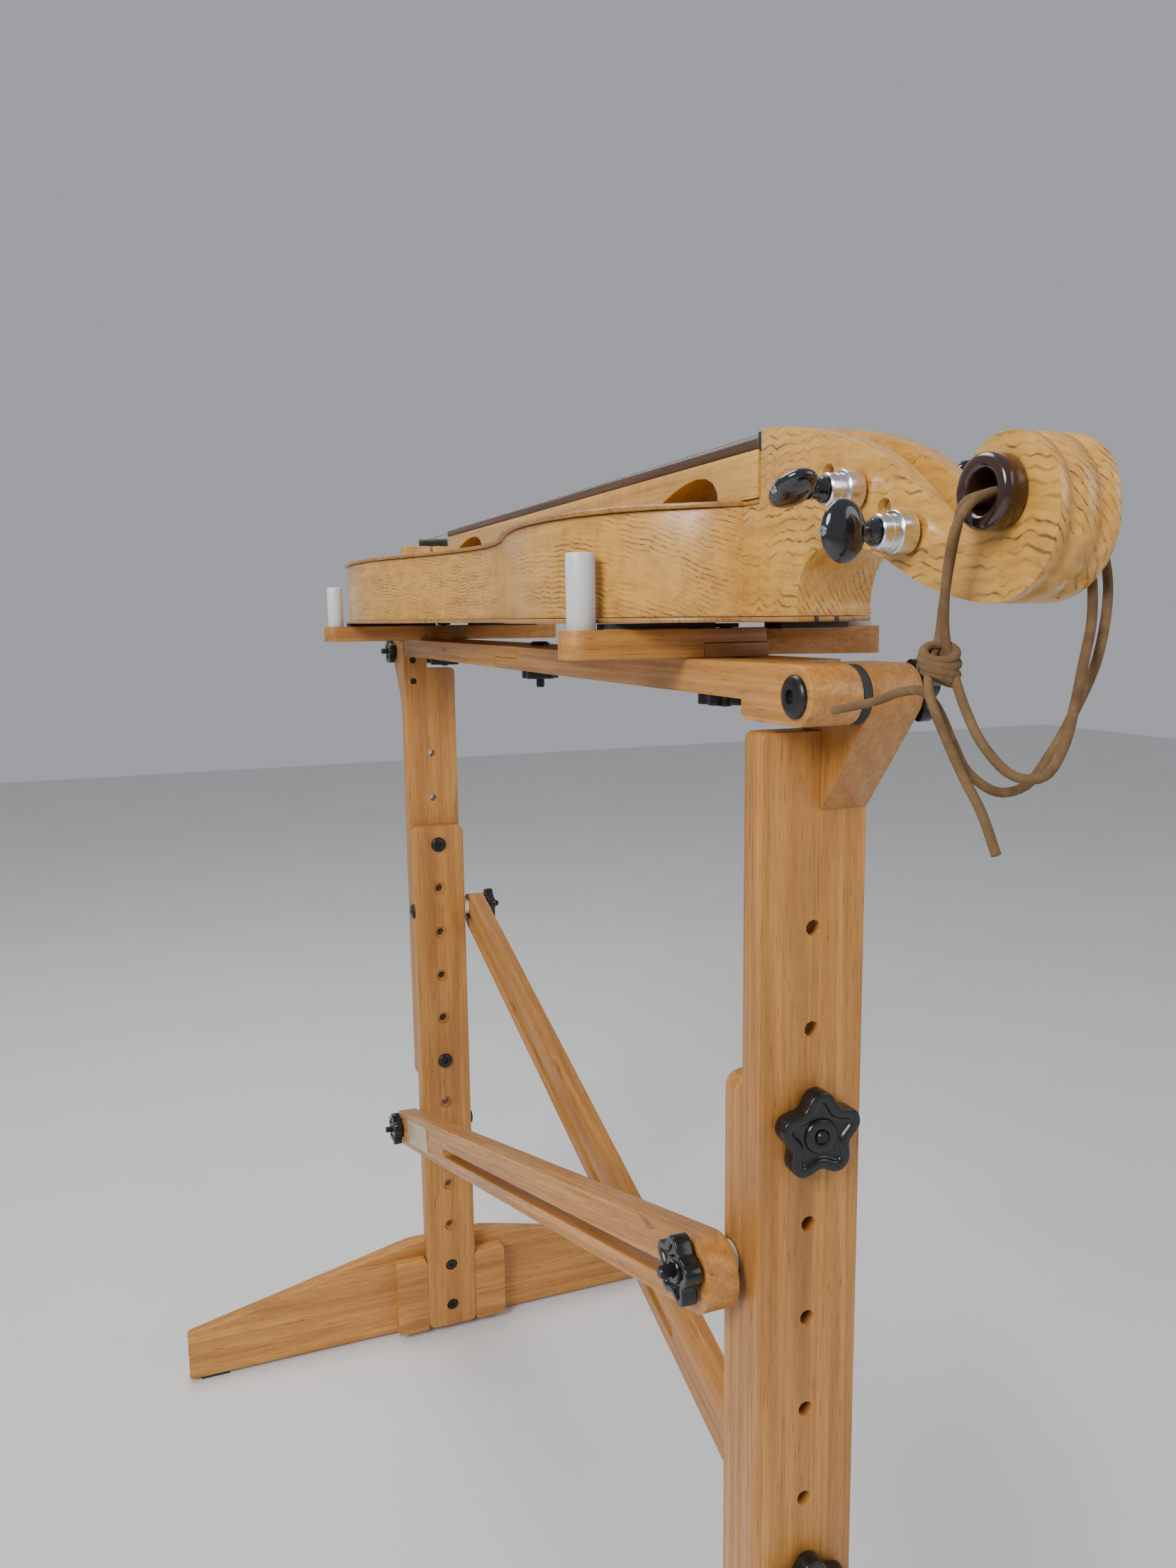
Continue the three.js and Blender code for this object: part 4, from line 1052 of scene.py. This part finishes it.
@dataclass
class Woodwork:
    """The boards of the stand with eased edges."""

    ease: float = 0.0012
    pad_thick: float = 3.9
    bracket_screw_y: float = 18.0
    bracket_screw_heights: tuple = (799.0, 776.0)
    plate_low: Triple = (45.0, -52.9, -13.0)
    plate_high: Triple = (145.0, -51.9, 13.0)
    plate_screw_in: float = 4.0
    spacer_bore: float = 4.0

    GRAINS = {
        "foot": Grain.ALONG_Y, "lower_post": Grain.ALONG_Z, "upper_post": Grain.ALONG_Z,
        "hinge_bracket": Grain.ALONG_Z, "beam_half": Grain.ALONG_X, "cradle_arm_front": Grain.ALONG_Y,
        "cradle_arm_back": Grain.ALONG_Y,
    }

    TONES = {
        "foot": 1.12, "hinge_bracket": 0.82, "lower_post": 0.94, "cradle_arm_back": 0.9, "beam_half": 1.04,
    }

    def build(self) -> None:
        """Makes every board, pad, peg and spacer."""
        shift = 0.0
        for end in End:
            e = end.value
            for part, grain in self.GRAINS.items():
                shift += 0.173
                wood = CHERRY.material(grain, shift, self.TONES.get(part, 1))
                self.board(f"{part}_{e}", f"{part}_board_{e}", wood)
            shift += 0.21
            brace_grain = Grain.NEAR_BRACE if end is End.NEAR else Grain.FAR_BRACE
            self.board(f"brace_{e}", f"brace_board_{e}", CHERRY.material(brace_grain, shift))
            for label in ("front", "back"):
                self.peg(f"cradle_peg_{label}_{e}")
            self.spacers(e)
            self.bracket_screws(end)
        self.nameplate()

    def board(self, node: str, name: str, wood: bpy.types.Material) -> None:
        """Rounds the edges of one board and paints it, with its rubber pads.

        Args:
            node: The CAD node.
            name: The piece's name.
            wood: The board's wood.
        """
        piece = eased(from_node(node, name), self.ease, 3)
        painted(piece, wood, RUBBER_MATERIAL)
        arm = node.startswith("cradle_arm")
        foot = node.startswith("foot")
        arm_top = (STAND.beam_top + STAND.gap + STAND.arm_thick + 0.9) * MM
        for face in piece.data.polygons:
            low = min(piece.data.vertices[i].co.z for i in face.vertices)
            high = max(piece.data.vertices[i].co.z for i in face.vertices)
            if (arm and high > arm_top) or (foot and high < 0.0042 and low < self.pad_thick * MM):
                face.material_index = 1
        stands_for(piece, node)

    def peg(self, node: str) -> None:
        """Makes one clear peg with a rounded top.

        Args:
            node: The CAD node.
        """
        low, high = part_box(node)
        middle = (low + high) / 2
        radius = (high.y - low.y) / 2 / MM
        height = (high.z - low.z) / MM
        peg = lathed(f"{node}_rod", [
            (radius - 0.4, 0), (radius, 0.4), (radius, height - 1.2), (radius - 0.35, height - 0.35),
            (radius - 1.2, height)], 48)
        settled(peg, Matrix.Translation((middle.x, middle.y, low.z)) @ Matrix.Scale(MM, 4))
        stands_for(painted(eased(peg, 0, angle=50), ACRYLIC_MATERIAL), node)

    def spacers(self, end: str) -> None:
        """Makes the hinge's rubber washer and the braces' nylon spacers.

        Args:
            end: The end of the stand they are at.
        """
        upright = Matrix.Rotation(math.pi / 2, 4, "X") @ Matrix.Scale(MM, 4)
        bore = self.spacer_bore
        for part, material in (("hinge_spacer", RUBBER_MATERIAL), ("brace_spacer_high", NYLON_MATERIAL),
                               ("brace_spacer_low", NYLON_MATERIAL)):
            node = f"{part}_{end}"
            low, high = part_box(node)
            middle = (low + high) / 2
            outer = (high.z - low.z) / 2 / MM
            half = (high.y - low.y) / 2 / MM
            ring = lathed_ring(f"{node}_ring", [
                (bore, -half), (outer - 0.5, -half), (outer, -half + 0.5), (outer, half - 0.5),
                (outer - 0.5, half), (bore, half)], 40)
            settled(ring, Matrix.Translation(middle) @ upright)
            stands_for(painted(eased(ring, 0), material), node)

    def bracket_screws(self, end: End) -> None:
        """Makes the two screws that hold the hinge bracket, seen on the post's inner face.

        Args:
            end: The end of the stand they are at.
        """
        screws = []
        for height in self.bracket_screw_heights:
            screw = lathed("screw", [(1.0, 0.6), (1.2, -0.3), (3.0, -0.3), (3.3, 0.0), (2.0, 2.2)], 24)
            sunk_x = STAND.outer - STAND.board + 0.5
            place = aimed((sunk_x, self.bracket_screw_y, height), (1, 0, 0), (0, 0, 1))
            screws.append(settled(screw, end.matrix @ place))
        whole = painted(eased(joined(f"bracket_screws_{end.value}", screws), 0), OXIDE_MATERIAL)
        extra(whole, "top")

    def nameplate(self) -> None:
        """Makes the blank plate with its raised rim on the front brace."""
        plate = slab("maker_plate", self.plate_low, self.plate_high)
        chosen_faces(plate, lambda face: face.normal.y < -0.9)
        bpy.ops.mesh.inset(thickness=1.6, depth=0)
        bpy.ops.mesh.extrude_region_move(TRANSFORM_OT_translate={"value": (0, 0.4, 0)})
        bpy.ops.object.mode_set(mode="OBJECT")
        screws = []
        for along in (self.plate_low[0] + self.plate_screw_in, self.plate_high[0] - self.plate_screw_in):
            head = lathed("plate_screw", [(1.2, 0), (1.2, 0.6), (0.6, 0.9)], 18)
            screws.append(settled(head, aimed((along, self.plate_low[1] + 0.2, 0), (0, -1, 0), (0, 0, 1))))
        whole = joined("maker_plate", [eased(plate, 0.25, 2), *screws])
        turn = Matrix.Rotation(-STAND.brace_angle, 4, "Y")
        settled(whole, End.NEAR.matrix @ Matrix.Translation((-STAND.pivot_x, 0, STAND.brace_low)) @ turn)
        extra(painted(whole, BRASS.material()), "base")


# ------------------------------------------------------------------ the dulcimer


@dataclass
class Dulcimer:
    """The instrument: sound box, fretboard, scroll head, tuners and strings."""

    back: float = 840.6
    nut_x: float = 383.0
    scale: float = 686.0
    eye_x: float = 542.0
    eye_rise: float = 44.0
    groove: float = 1.7
    groove_start: float = 0.026
    groove_fade: float = 0.03
    eye_clear: float = 0.0185
    housing_length: float = 15.0
    button: Triple = (24.0, 9.5, 19.0)
    button_middle: float = 13.5
    first_button_turn: float = -0.5
    fret_half: float = 19.2
    fret_steps: tuple = (2, 4, 5, 7, 9, 10, 11, 12, 14, 16, 17, 19, 21, 22, 24, 26, 28, 29)
    strip_ys: tuple = (-9.5, 1.0)
    strip_length: float = 21.9
    tuners: tuple = (
        ("front_1", 461.0, 52.8, -1), ("front_2", 493.0, 34.0, -1),
        ("back_1", 441.5, 61.8, 1), ("back_2", 477.7, 44.3, 1),
    )
    string_ys: tuple = (-14.0, -10.5, 0.0, 13.0)
    string_radii: tuple = (0.00022, 0.00022, 0.00028, 0.00042)
    string_tuners: tuple = (0, 1, 3, 2)

    def build(self) -> None:
        """Makes the whole instrument."""
        wood = CHESTNUT.material(Grain.ALONG_X, 0.31)
        plate = PLATE_WOOD.material(Grain.ALONG_X, 0.77)
        ebony = EBONY.material()
        self.shaped("ribs", 0.0004, wood)
        self.shaped("top_plate", 0.0009, plate)
        self.shaped("back_plate", 0.0009, plate)
        self.shaped("fretboard", 0.0005, CURLY.material(Grain.ALONG_X, 0.53))
        self.shaped("fretboard_overlay", 0.0009, WALNUT.material(Grain.ALONG_X, 0.9))
        self.shaped("nut", 0.0006, ebony)
        self.shaped("bridge", 0.0012, CURLY.material(Grain.ALONG_Y, 0.2))
        self.shaped("saddle", 0.0006, ebony)
        self.head(CHESTNUT.material(Grain.ALONG_X, 0.62))
        self.bushing()
        for tuner in self.tuners:
            self.tuner(*tuner)
        self.frets()
        self.strings()
        self.inlays(ebony)

    def shaped(self, node: str, ease: float, material: bpy.types.Material) -> None:
        """Rounds a CAD shape's edges and paints it.

        Args:
            node: The CAD node.
            ease: Width of the rounding in metres.
            material: The piece's material.
        """
        piece = eased(from_node(node, f"{node}_wood"), ease, 3)
        stands_for(painted(piece, material), node)

    def head(self, material: bpy.types.Material) -> None:
        """Carves the two grooves round the scroll's tread into the head.

        Args:
            material: The head's wood.
        """
        piece = from_node("head", "scroll_head")
        eye = spot(self.eye_x, 0, self.back + self.eye_rise)
        depths = {3.6: 0.0, 4.6: 0.55, 6.2: 1.0, 7.8: 0.55, 8.8: 0.0}
        take(piece)
        bpy.ops.object.mode_set(mode="EDIT")
        for y in depths:
            for side in (-1, 1):
                bpy.ops.mesh.select_all(action="SELECT")
                bpy.ops.mesh.bisect(plane_co=(0, side * y * MM, 0), plane_no=(0, 1, 0))
        bpy.ops.object.mode_set(mode="OBJECT")
        for vertex in piece.data.vertices:
            share = depths.get(round(abs(vertex.co.y) / MM, 1), 0)
            out = Vector((vertex.co.x - eye.x, 0, vertex.co.z - eye.z))
            if share == 0 or out.length < self.eye_clear or out.x < -self.groove_start:
                continue
            fade = min(1, (out.x + self.groove_start) / self.groove_fade)
            vertex.co -= out.normalized() * self.groove * MM * share * fade
        piece = eased(piece, 0.0007, 2, 44)
        stands_for(painted(piece, material), "head")

    def bushing(self) -> None:
        """Turns the dark bushing through the eye, with a rounded lip."""
        ring = lathed_ring("eye_ring", [
            (7.5, -15), (10.2, -15), (10.2, 12.9), (12.6, 13.3), (13.2, 14.2), (13.25, 20.6), (12.8, 22.2),
            (11.6, 22.95), (9.6, 23), (8.2, 22.4), (7.5, 21)], 64)
        place = Matrix.Translation(spot(self.eye_x, 0, self.back + self.eye_rise))
        settled(ring, place @ Matrix.Rotation(math.pi / 2, 4, "X") @ Matrix.Scale(MM, 4))
        stands_for(painted(eased(ring, 0, angle=50), ROSEWOOD.material()), "eye_bushing")

    def tuner(self, label: str, x: float, rise: float, side: int) -> None:
        """Makes one tuner's turned housing, its post and its button.

        Args:
            label: The tuner's name.
            x: Distance along the head in millimetres.
            rise: Height above the back's underside in millimetres.
            side: Side of the head it is on.
        """
        low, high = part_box(f"tuner_{label}")
        outer = (high.y if side > 0 else -low.y) / MM
        outward = Matrix.Rotation(-side * math.pi / 2, 4, "X")
        place = Matrix.Translation(spot(x, 0, self.back + rise)) @ outward @ Matrix.Scale(MM, 4)
        body = settled(self.tuner_body(label, outer - self.housing_length), place)
        stands_for(painted(body, ALUMINIUM.material()), f"tuner_{label}")
        turn = self.first_button_turn if label.endswith("1") else math.pi / 2
        grip = settled(self.tuner_grip(label, outer + STAND.gap, side * turn), place)
        stands_for(grip, f"tuner_button_{label}")

    def tuner_body(self, label: str, face: float) -> bpy.types.Object:
        """Turns a tuner's housing and its post.

        Args:
            label: The tuner's name.
            face: Height of the head's cheek, where the housing sits.

        Returns:
            The piece, in millimetres along Z.
        """
        housing = lathed("housing", [
            (7.9, face), (8.25, face + 0.4), (8.25, face + 7.0), (7.9, face + 7.4), (6.9, face + 7.5),
            (6.75, face + 8.3), (6.75, face + 10.3), (6.45, face + 10.5), (6.45, face + 10.9),
            (6.75, face + 11.1), (6.75, face + 14.2), (6.2, face + 14.9), (4.4, face + 15.0)], 56)
        inner = face * 0.75
        post = lathed("post", [(3.0, -inner), (3.2, -inner + 0.4), (3.2, face)], 24)
        return joined(f"tuner_body_{label}", [eased(housing, 0, angle=32), eased(post, 0)])

    def tuner_grip(self, label: str, start: float, turn: float) -> bpy.types.Object:
        """Makes a tuner's button with its collar and its screw.

        Args:
            label: The tuner's name.
            start: Height of the collar's foot.
            turn: Turn of the button's flat about Z, in radians.

        Returns:
            The piece, in millimetres along Z.
        """
        calm()
        middle = start + self.button_middle
        bpy.ops.mesh.primitive_uv_sphere_add(
            segments=40, ring_count=22, radius=0.5, location=(0, 0, middle), scale=self.button)
        button = settled(named("button"))
        button.data.transform(Matrix.Rotation(turn, 4, "Z"))
        collar = lathed("collar", [
            (5.4, start), (5.4, start + 0.8), (4.9, start + 1.6), (4.0, start + 3.2), (3.7, start + 5.5),
            (4.2, start + 7)], 36)
        screw = lathed("screw", [
            (1.7, start + 21), (2.2, start + 22.2), (2.2, start + 22.7), (1.5, start + 22.95)], 24)
        parts = [eased(button, 0, angle=60), eased(collar, 0, angle=60), eased(screw, 0)]
        for part in parts:
            painted(part, BUTTON_MATERIAL, CHROME_MATERIAL)
        for polygon in screw.data.polygons:
            polygon.material_index = 1
        return joined(f"tuner_grip_{label}", parts)

    def frets(self) -> None:
        """Lays the diatonic frets across the overlay."""
        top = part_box("fretboard_overlay")[1].z
        wires = []
        for step in self.fret_steps:
            x = self.nut_x - self.scale * (1 - 2 ** (-step / 12))
            start, end = spot(x, -self.fret_half, 0), spot(x, self.fret_half, 0)
            start.z = end.z = top
            wires.append(bar_between("fret", start, end, 0.0011, 16))
        extra(painted(joined("frets", wires), NICKEL.material()), "dulcimer")

    def strings(self) -> None:
        """Strings the instrument from the tuner posts over the nut and saddle to the tail."""
        nut_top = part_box("nut")[1].z
        saddle_low, saddle_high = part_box("saddle")
        saddle_x = (saddle_low.x + saddle_high.x) / 2
        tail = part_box("top_plate")[0].x
        wires = []
        for number, y in enumerate(self.string_ys):
            radius = self.string_radii[number]
            _, x, rise, _ = self.tuners[self.string_tuners[number]]
            post = spot(x, y * 0.45, self.back + rise + 3.4)
            nut = Vector((spot(self.nut_x + 1.5, 0, 0).x, y * MM, nut_top + radius))
            saddle = Vector((saddle_x, y * MM, saddle_high.z + radius))
            end = Vector((tail + 0.004, y * MM * 0.8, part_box("top_plate")[1].z + 0.001))
            for start, stop in ((post, nut), (nut, saddle), (saddle, end)):
                wires.append(bar_between("string", start, stop, radius, 8))
        extra(painted(joined("strings", wires), STRING_STEEL.material()), "dulcimer")

    def inlays(self, ebony: bpy.types.Material) -> None:
        """Lets the two dark strips into the heel's lower edge.

        Args:
            ebony: Their material.
        """
        low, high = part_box("back_plate")
        corner = Matrix.Translation((high.x - self.strip_length * MM, 0, low.z + 0.0001))
        strips = []
        for y in self.strip_ys:
            strip = slab("strip", (0, y - 1.2, 0), (self.strip_length + 0.1, y + 1.2, 2.4))
            strips.append(settled(strip, corner @ Matrix.Scale(MM, 4)))
        extra(painted(eased(joined("heel_strips", strips), 0.0002), ebony), "dulcimer")


BUTTON_MATERIAL = BUTTON.material()


# ------------------------------------------------------------------ lace


@dataclass
class Lace:
    """The suede lace through the scroll's eye, by which the instrument hangs on a wall."""

    thick: float = 3.4
    knot_at: Triple = (538.6, -34.4, 826.0)
    knot_strand: float = 1.75
    knot_turns: tuple = ((4.2, 0.42, 5.4), (1.4, 0.16, 6.0), (-1.4, -0.1, 6.0), (-4.0, -0.34, 5.3))
    route: tuple = (
        (488, -44, 807), (511, -40.5, 812), (524, -39, 816), (532, -36, 816.5),
        (537, -33.5, 811), (545, -32.5, 799), (551, -31, 790), (557.5, -24, 783.5),
        (559, -13, 785), (560.5, -4, 796), (561.5, 5, 811), (562.5, 12, 827),
        (553.5, 24.5, 851), (547.5, 27, 867), (545.5, 25, 880), (545, 17, 885),
        (544.8, 0, 885), (544.8, -18, 884.6), (544, -27, 881), (541.5, -31, 874),
        (536.5, -30.5, 860), (536, -31, 845), (537.5, -31.5, 836), (542, -32, 826),
        (551, -32, 810), (558, -30, 799), (569, -27, 790.5), (579.5, -24, 791.5),
        (581.5, -19, 800), (578.5, -12, 813.5), (571, -2, 826.5), (559.5, 12, 842),
        (549, 20.5, 860), (544.5, 20.5, 872), (540, 18.5, 881), (539.2, 12, 884),
        (539.2, -18, 884.2), (538, -26, 880.5), (536.3, -27, 873),
        (531.5, -26, 860), (530.5, -27, 848), (532, -30, 834), (537, -37, 826),
        (541.5, -40.5, 817), (549, -39, 802), (558, -38, 789), (567, -38, 779), (575, -38, 766),
    )

    def smooth_line(self, per_span: int = 5) -> list[Vector]:
        """Draws the even curve through the route's points.

        Args:
            per_span: Points between one of the route's points and the next.

        Returns:
            The centre line, in metres in the frame.
        """
        marks = [spot(*place) for place in self.route]
        marks = [2 * marks[0] - marks[1], *marks, 2 * marks[-1] - marks[-2]]
        line = []
        for a, b, c, d in zip(marks, marks[1:], marks[2:], marks[3:]):
            knots = [0.0]
            for start, stop in ((a, b), (b, c), (c, d)):
                knots.append(knots[-1] + (stop - start).length ** 0.5)
            for i in range(per_span):
                t = knots[1] + (knots[2] - knots[1]) * i / per_span
                line.append(self.between((a, b, c, d), knots, t))
        line.append(marks[-2])
        return line

    @staticmethod
    def between(marks: tuple, knots: list[float], t: float) -> Vector:
        """Gives one point of the even curve through four marks.

        Args:
            marks: The four marks.
            knots: Where the curve meets each of them.
            t: Where the point is, between the second and the third.

        Returns:
            The point.
        """
        level = list(marks)
        for width in (1, 2, 3):
            if width == 3:
                first, last = knots[1], knots[2]
                return level[0] * ((last - t) / (last - first)) + level[1] * ((t - first) / (last - first))
            level = [
                level[i] * ((knots[i + width] - t) / (knots[i + width] - knots[i]))
                + level[i + 1] * ((t - knots[i]) / (knots[i + width] - knots[i]))
                for i in range(len(level) - 1)
            ]
        return level[0]

    def build(self) -> None:
        """Makes the lace and the knot that gathers it."""
        line = self.smooth_line()
        curve = bpy.data.curves.new("suede_lace", "CURVE")
        curve.dimensions = "3D"
        curve.bevel_depth = self.thick / 2 * MM
        curve.bevel_resolution = 4
        curve.use_fill_caps = True
        spline = curve.splines.new("POLY")
        spline.points.add(len(line) - 1)
        for point, place in zip(spline.points, line):
            point.co = (*place, 1)
        spline.use_smooth = True
        lace = bpy.data.objects.new("suede_lace", curve)
        bpy.context.scene.collection.objects.link(lace)
        material = SUEDE.material()
        curve.materials.append(material)
        stands_for(lace, "lace")
        knot = self.knot(material)

    def knot(self, material: bpy.types.Material) -> bpy.types.Object:
        """Makes the hitch round the strands at the gathering.

        Args:
            material: The suede.

        Returns:
            The piece.
        """
        x, y, z = self.knot_at
        turns = []
        for rise, tilt, wide in self.knot_turns:
            calm()
            bpy.ops.mesh.primitive_torus_add(
                major_radius=wide * MM, minor_radius=self.knot_strand * MM,
                major_segments=44, minor_segments=14,
                location=spot(x, y, z + rise), rotation=(tilt, 0.3, 0.4))
            turn = settled(named("turn"))
            turns.append(eased(turn, 0, angle=60))
        knot = painted(joined("lace_knot", turns), material)
        return extra(knot, "dulcimer")


# ------------------------------------------------------------------ studio


@dataclass
class Studio:
    """Camera, floor and lights."""

    camera_at: Triple = (866.97, -290.03, 844.0)
    ahead: Triple = (-0.92493, 0.35156, -0.14460)
    roll: float = math.radians(-0.713)
    lens: float = 26.24
    sky: Triple = (0.80, 0.83, 0.88)
    sky_strength: float = 0.48
    aim: Triple = (0.0, 0.0, 0.6)
    soft_boxes: tuple = (
        ("key", (1.5, -2.0, 2.2), 1.3, 74),
        ("fill", (1.9, 1.6, 1.7), 1.8, 16),
        ("top", (-0.9, -0.4, 2.6), 1.4, 30),
    )

    def camera(self) -> None:
        """Sets up the camera."""
        forward = Vector(self.ahead).normalized()
        level = forward.cross(Vector((0, 0, 1))).normalized()
        upright = level.cross(forward)
        right = level * math.cos(self.roll) + upright * math.sin(self.roll)
        up = upright * math.cos(self.roll) - level * math.sin(self.roll)
        data = bpy.data.cameras.new("camera")
        data.lens = self.lens
        data.sensor_width = 36
        data.sensor_fit = "AUTO"
        data.clip_start = 0.01
        camera = bpy.data.objects.new("camera", data)
        camera.matrix_world = Matrix.Translation(spot(*self.camera_at)) @ (
            Matrix((right, up, -forward)).transposed().to_4x4())
        bpy.context.scene.collection.objects.link(camera)
        bpy.context.scene.camera = camera

    def floor(self) -> None:
        """Lays the pale floor."""
        calm()
        bpy.ops.mesh.primitive_plane_add(size=12, location=(0, 0, -0.0002))
        floor = named("studio_floor")
        painted(floor, FLOOR_PAPER.material())

    def lights(self) -> None:
        """Hangs the soft boxes and sets the pale surroundings."""
        world = bpy.context.scene.world or bpy.data.worlds.new("studio")
        bpy.context.scene.world = world
        world.use_nodes = True
        background = world.node_tree.nodes["Background"]
        background.inputs["Color"].default_value = (*self.sky, 1)
        background.inputs["Strength"].default_value = self.sky_strength
        for name, at, size, power in self.soft_boxes:
            data = bpy.data.lights.new(name, "AREA")
            data.shape = "DISK"
            data.size = size
            data.energy = power
            light = bpy.data.objects.new(name, data)
            light.location = at
            light.rotation_euler = (Vector(self.aim) - Vector(at)).to_track_quat("-Z", "Y").to_euler()
            bpy.context.scene.collection.objects.link(light)


def main() -> None:
    """Builds the camera and the lace first, then the stand, the instrument and the studio."""
    logging.basicConfig(level=logging.INFO, format="%(name)s: %(message)s")
    studio = Studio()
    studio.camera()
    Lace().build()
    Woodwork().build()
    Hardware().build()
    Dulcimer().build()
    studio.floor()
    studio.lights()


if __name__ == "__main__":
    main()
